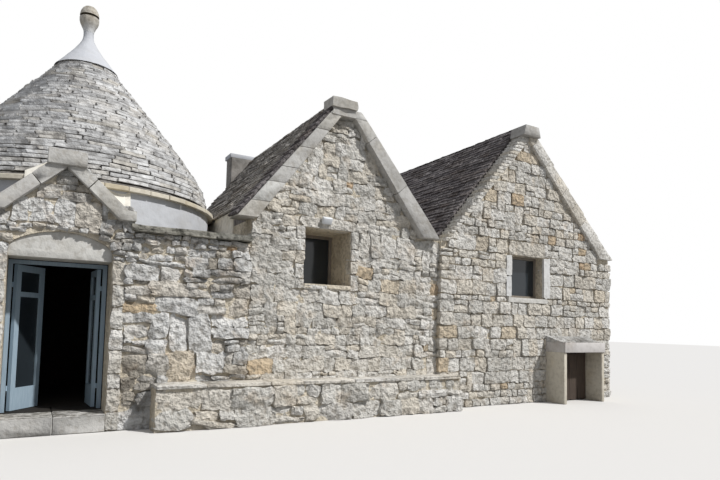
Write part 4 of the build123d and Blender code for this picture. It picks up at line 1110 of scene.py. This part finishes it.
eaveSlabs = {"count": 42, "gap": 0.006, "bevel": 0.006, "under": 0.25}
ringLow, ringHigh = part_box("eave_ring")
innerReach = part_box("trullo_cone")[1].x - eaveSlabs["under"]
selectOnly()
bpy.ops.mesh.primitive_plane_add(size=1)
section = bpy.context.object
editAll(section)
bpy.ops.transform.resize(value=(ringHigh.x - innerReach, ringHigh.z - ringLow.z, 1))
bpy.ops.transform.translate(value=((ringHigh.x + innerReach) / 2, 0, 0))
endEdit()
section.data.transform(
    Matrix.Translation((0, 0, (ringLow.z + ringHigh.z) / 2)) @ Matrix.Rotation(math.pi / 2, 4, "X"))
editAll(section)
step = math.tau / eaveSlabs["count"]
bpy.ops.mesh.spin(steps=4, angle=step - eaveSlabs["gap"] / ringHigh.x, center=(0, 0, 0), axis=(0, 0, 1))
bpy.ops.mesh.select_all(action="SELECT")
bpy.ops.mesh.remove_doubles(threshold=0.0001)
bpy.ops.mesh.normals_make_consistent(inside=False)
endEdit()
slabsRound = []
rng = random.Random("eave")
for place in range(eaveSlabs["count"]):
    slab = duplicate(section)
    uneven = 1 + rng.uniform(-0.004, 0.002)
    slab.data.transform(Matrix.Rotation(step * place, 4, "Z") @ Matrix.Diagonal((uneven, uneven, 1, 1)))
    writeAttribute(slab.data, "tint", "FLOAT", [rng.random()] * len(slab.data.vertices))
    slabsRound.append(slab)
bpy.data.objects.remove(section)
ring = joinPieces("eave_ring_slabs", slabsRound)
editAll(ring)
bpy.ops.mesh.select_mode(type="EDGE")
bpy.ops.mesh.select_all(action="DESELECT")
bpy.ops.mesh.edges_select_sharp(sharpness=math.radians(40))
bpy.ops.mesh.bevel(offset=eaveSlabs["bevel"], segments=1, affect="EDGES")
endEdit(30)
finishPiece(ring, "limestoneCream", ["eave_ring"])
print("eave ring", len(slabsRound), "slabs")


# Joinery and metal

def plainFinish(name, look):
    material = bpy.data.materials.new(name)
    tree = emptyTree(material)
    place = addNode(tree, "TexCoord").outputs["Object"]
    stretched = addNode(tree, "Mapping", {"Vector": place, "Scale": (1, 1, look["stretch"])})
    grain = addNode(tree, "TexNoise", {"Vector": stretched, "Scale": 1000 / look["grain"], "Detail": 6,
                                       "Roughness": 0.6})
    tone = addNode(tree, "ValToRGB", {0: grain})
    setRamp(tone, list(zip((0.3, 0.7), look["colours"])))
    rough = addNode(tree, "MapRange", {"Value": grain, "To Min": look["roughness"] - 0.08,
                                       "To Max": look["roughness"] + 0.08})
    bump = addNode(tree, "Bump", {"Strength": look["bump"], "Distance": 0.002, "Height": grain})
    shader = addNode(tree, "BsdfPrincipled", {"Base Color": tone, "Roughness": rough, "Normal": bump,
                                              "Metallic": look.get("metallic", 0)})
    addNode(tree, "OutputMaterial", {"Surface": shader})
    finishes[name] = material


# stretch is how far the grain is drawn out upwards, and grain its width in mm
joineryLooks = {
    # Oil paint on door timber, pale blue-grey, a little chalky
    "paintedWood": {"stretch": 0.08, "grain": 12, "colours": ("#8fa3b1", "#a5b6c1"), "roughness": 0.5,
                    "bump": 0.25},
    # Window timber, stained and weathered to grey-brown
    "stainedWood": {"stretch": 0.08, "grain": 12, "colours": ("#6f665c", "#8f867a"), "roughness": 0.55,
                    "bump": 0.3},
    # Forged iron of the pintles, black and matt
    "forgedIron": {"stretch": 1, "grain": 6, "colours": ("#1d1c1b", "#33302d"), "roughness": 0.6, "bump": 0.3,
                   "metallic": 0.8},
    # Window glass, painted dark for the unlit rooms behind it
    "paneGlass": {"stretch": 1, "grain": 900, "colours": ("#23282c", "#2d3337"), "roughness": 0.1,
                  "bump": 0.02},
    # Old brown boards at the back of the cabinet, dull, and painted darker for the shade inside it
    "oldBoards": {"stretch": 0.08, "grain": 16, "colours": ("#3b3028", "#54463a"), "roughness": 0.8,
                  "bump": 0.4},
    # Enamelled lamp head, white, a little glossy
    "whiteEnamel": {"stretch": 1, "grain": 60, "colours": ("#dadcdd", "#e3e4e5"), "roughness": 0.35,
                    "bump": 0.03},
}
for name, look in joineryLooks.items():
    plainFinish(name, look)

# boards at the back of the cabinet, their finish painted dark for the shade inside it
boards = {"count": 4, "first": 0.20, "spacing": 0.23, "size": (0.222, 0.022, 0.86), "middle": 0.44,
          "stand": 0.096}
setBlocks("cabinet_boards", "slab",
          [((bedLow.x + boards["first"] + board * boards["spacing"], boards["middle"]), boards["size"], 0.5,
            boards["stand"]) for board in range(boards["count"])],
          rightFrontY, "oldBoards")
finishPiece(lamp, "whiteEnamel")

# CAD nodes that show as they are
nodeFinishes = {
    "limeMortar": "trullo_front_wall_left trullo_front_wall_right trullo_left_wall trullo_right_wall "
                  "trullo_back_wall door_head_wall door_gable_wall lamia_left_front_wall "
                  "lamia_left_back_wall lamia_right_front_wall lamia_right_back_wall "
                  "lamia_right_side_wall bench_base valley_wall",
    "limestoneRoofSlab": "lamia_right_roof_left lamia_right_roof_right",
    "limestoneGreySlab": "lamia_left_roof_left lamia_left_roof_right",
    "limewash": "drum_left_back drum_left_front drum_right_back drum_right_front",
    "limePlaster": "lamia_left_side_wall door_gable_saddle",
    "sootyPlaster": "chimney",
    "limestoneSawn": "trullo_floor lamia_floors",
    "limestoneMossy": "parapet_coping_rear",
    "paintedWood": "door_frame door_leaf_left door_leaf_right",
    "stainedWood": "window_frames",
    "forgedIron": "door_pintles",
    "paneGlass": "window_glass door_glass_left door_glass_right",
}
finished = set()
for finish, names in nodeFinishes.items():
    for nodeName in names.split():
        nodes[nodeName].data.materials.clear()
        nodes[nodeName].data.materials.append(finishes[finish])
        finished.add(nodeName)
print("no finish:", [name for name, node in nodes.items() if not node.hide_render and name not in finished])


# Floor, darker to the light that it throws back than to the camera

floorLook = {"size": 120, "sunk": 0.002, "bounced": "#9c9b99", "seen": "#dfdcd7"}
selectOnly()
bpy.ops.mesh.primitive_plane_add(size=floorLook["size"], location=(0, 0, -floorLook["sunk"]))
floor = bpy.context.object
floor.name = "floor"
floorFinish = bpy.data.materials.new("paleFloor")
tree = emptyTree(floorFinish)
toCamera = addNode(tree, "LightPath").outputs["Is Camera Ray"]
pale = addNode(tree, "Mix", {0: toCamera, 6: linear(floorLook["bounced"]), 7: linear(floorLook["seen"])},
               data_type="RGBA")
shader = addNode(tree, "BsdfDiffuse", {"Color": pale})
addNode(tree, "OutputMaterial", {"Surface": shader})
floor.data.materials.append(floorFinish)
floor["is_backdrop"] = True

# The shaped stones have all been copied
for shelf in shelves:
    for block in list(shelf.objects):
        bpy.data.objects.remove(block)
    bpy.data.collections.remove(shelf)

low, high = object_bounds()
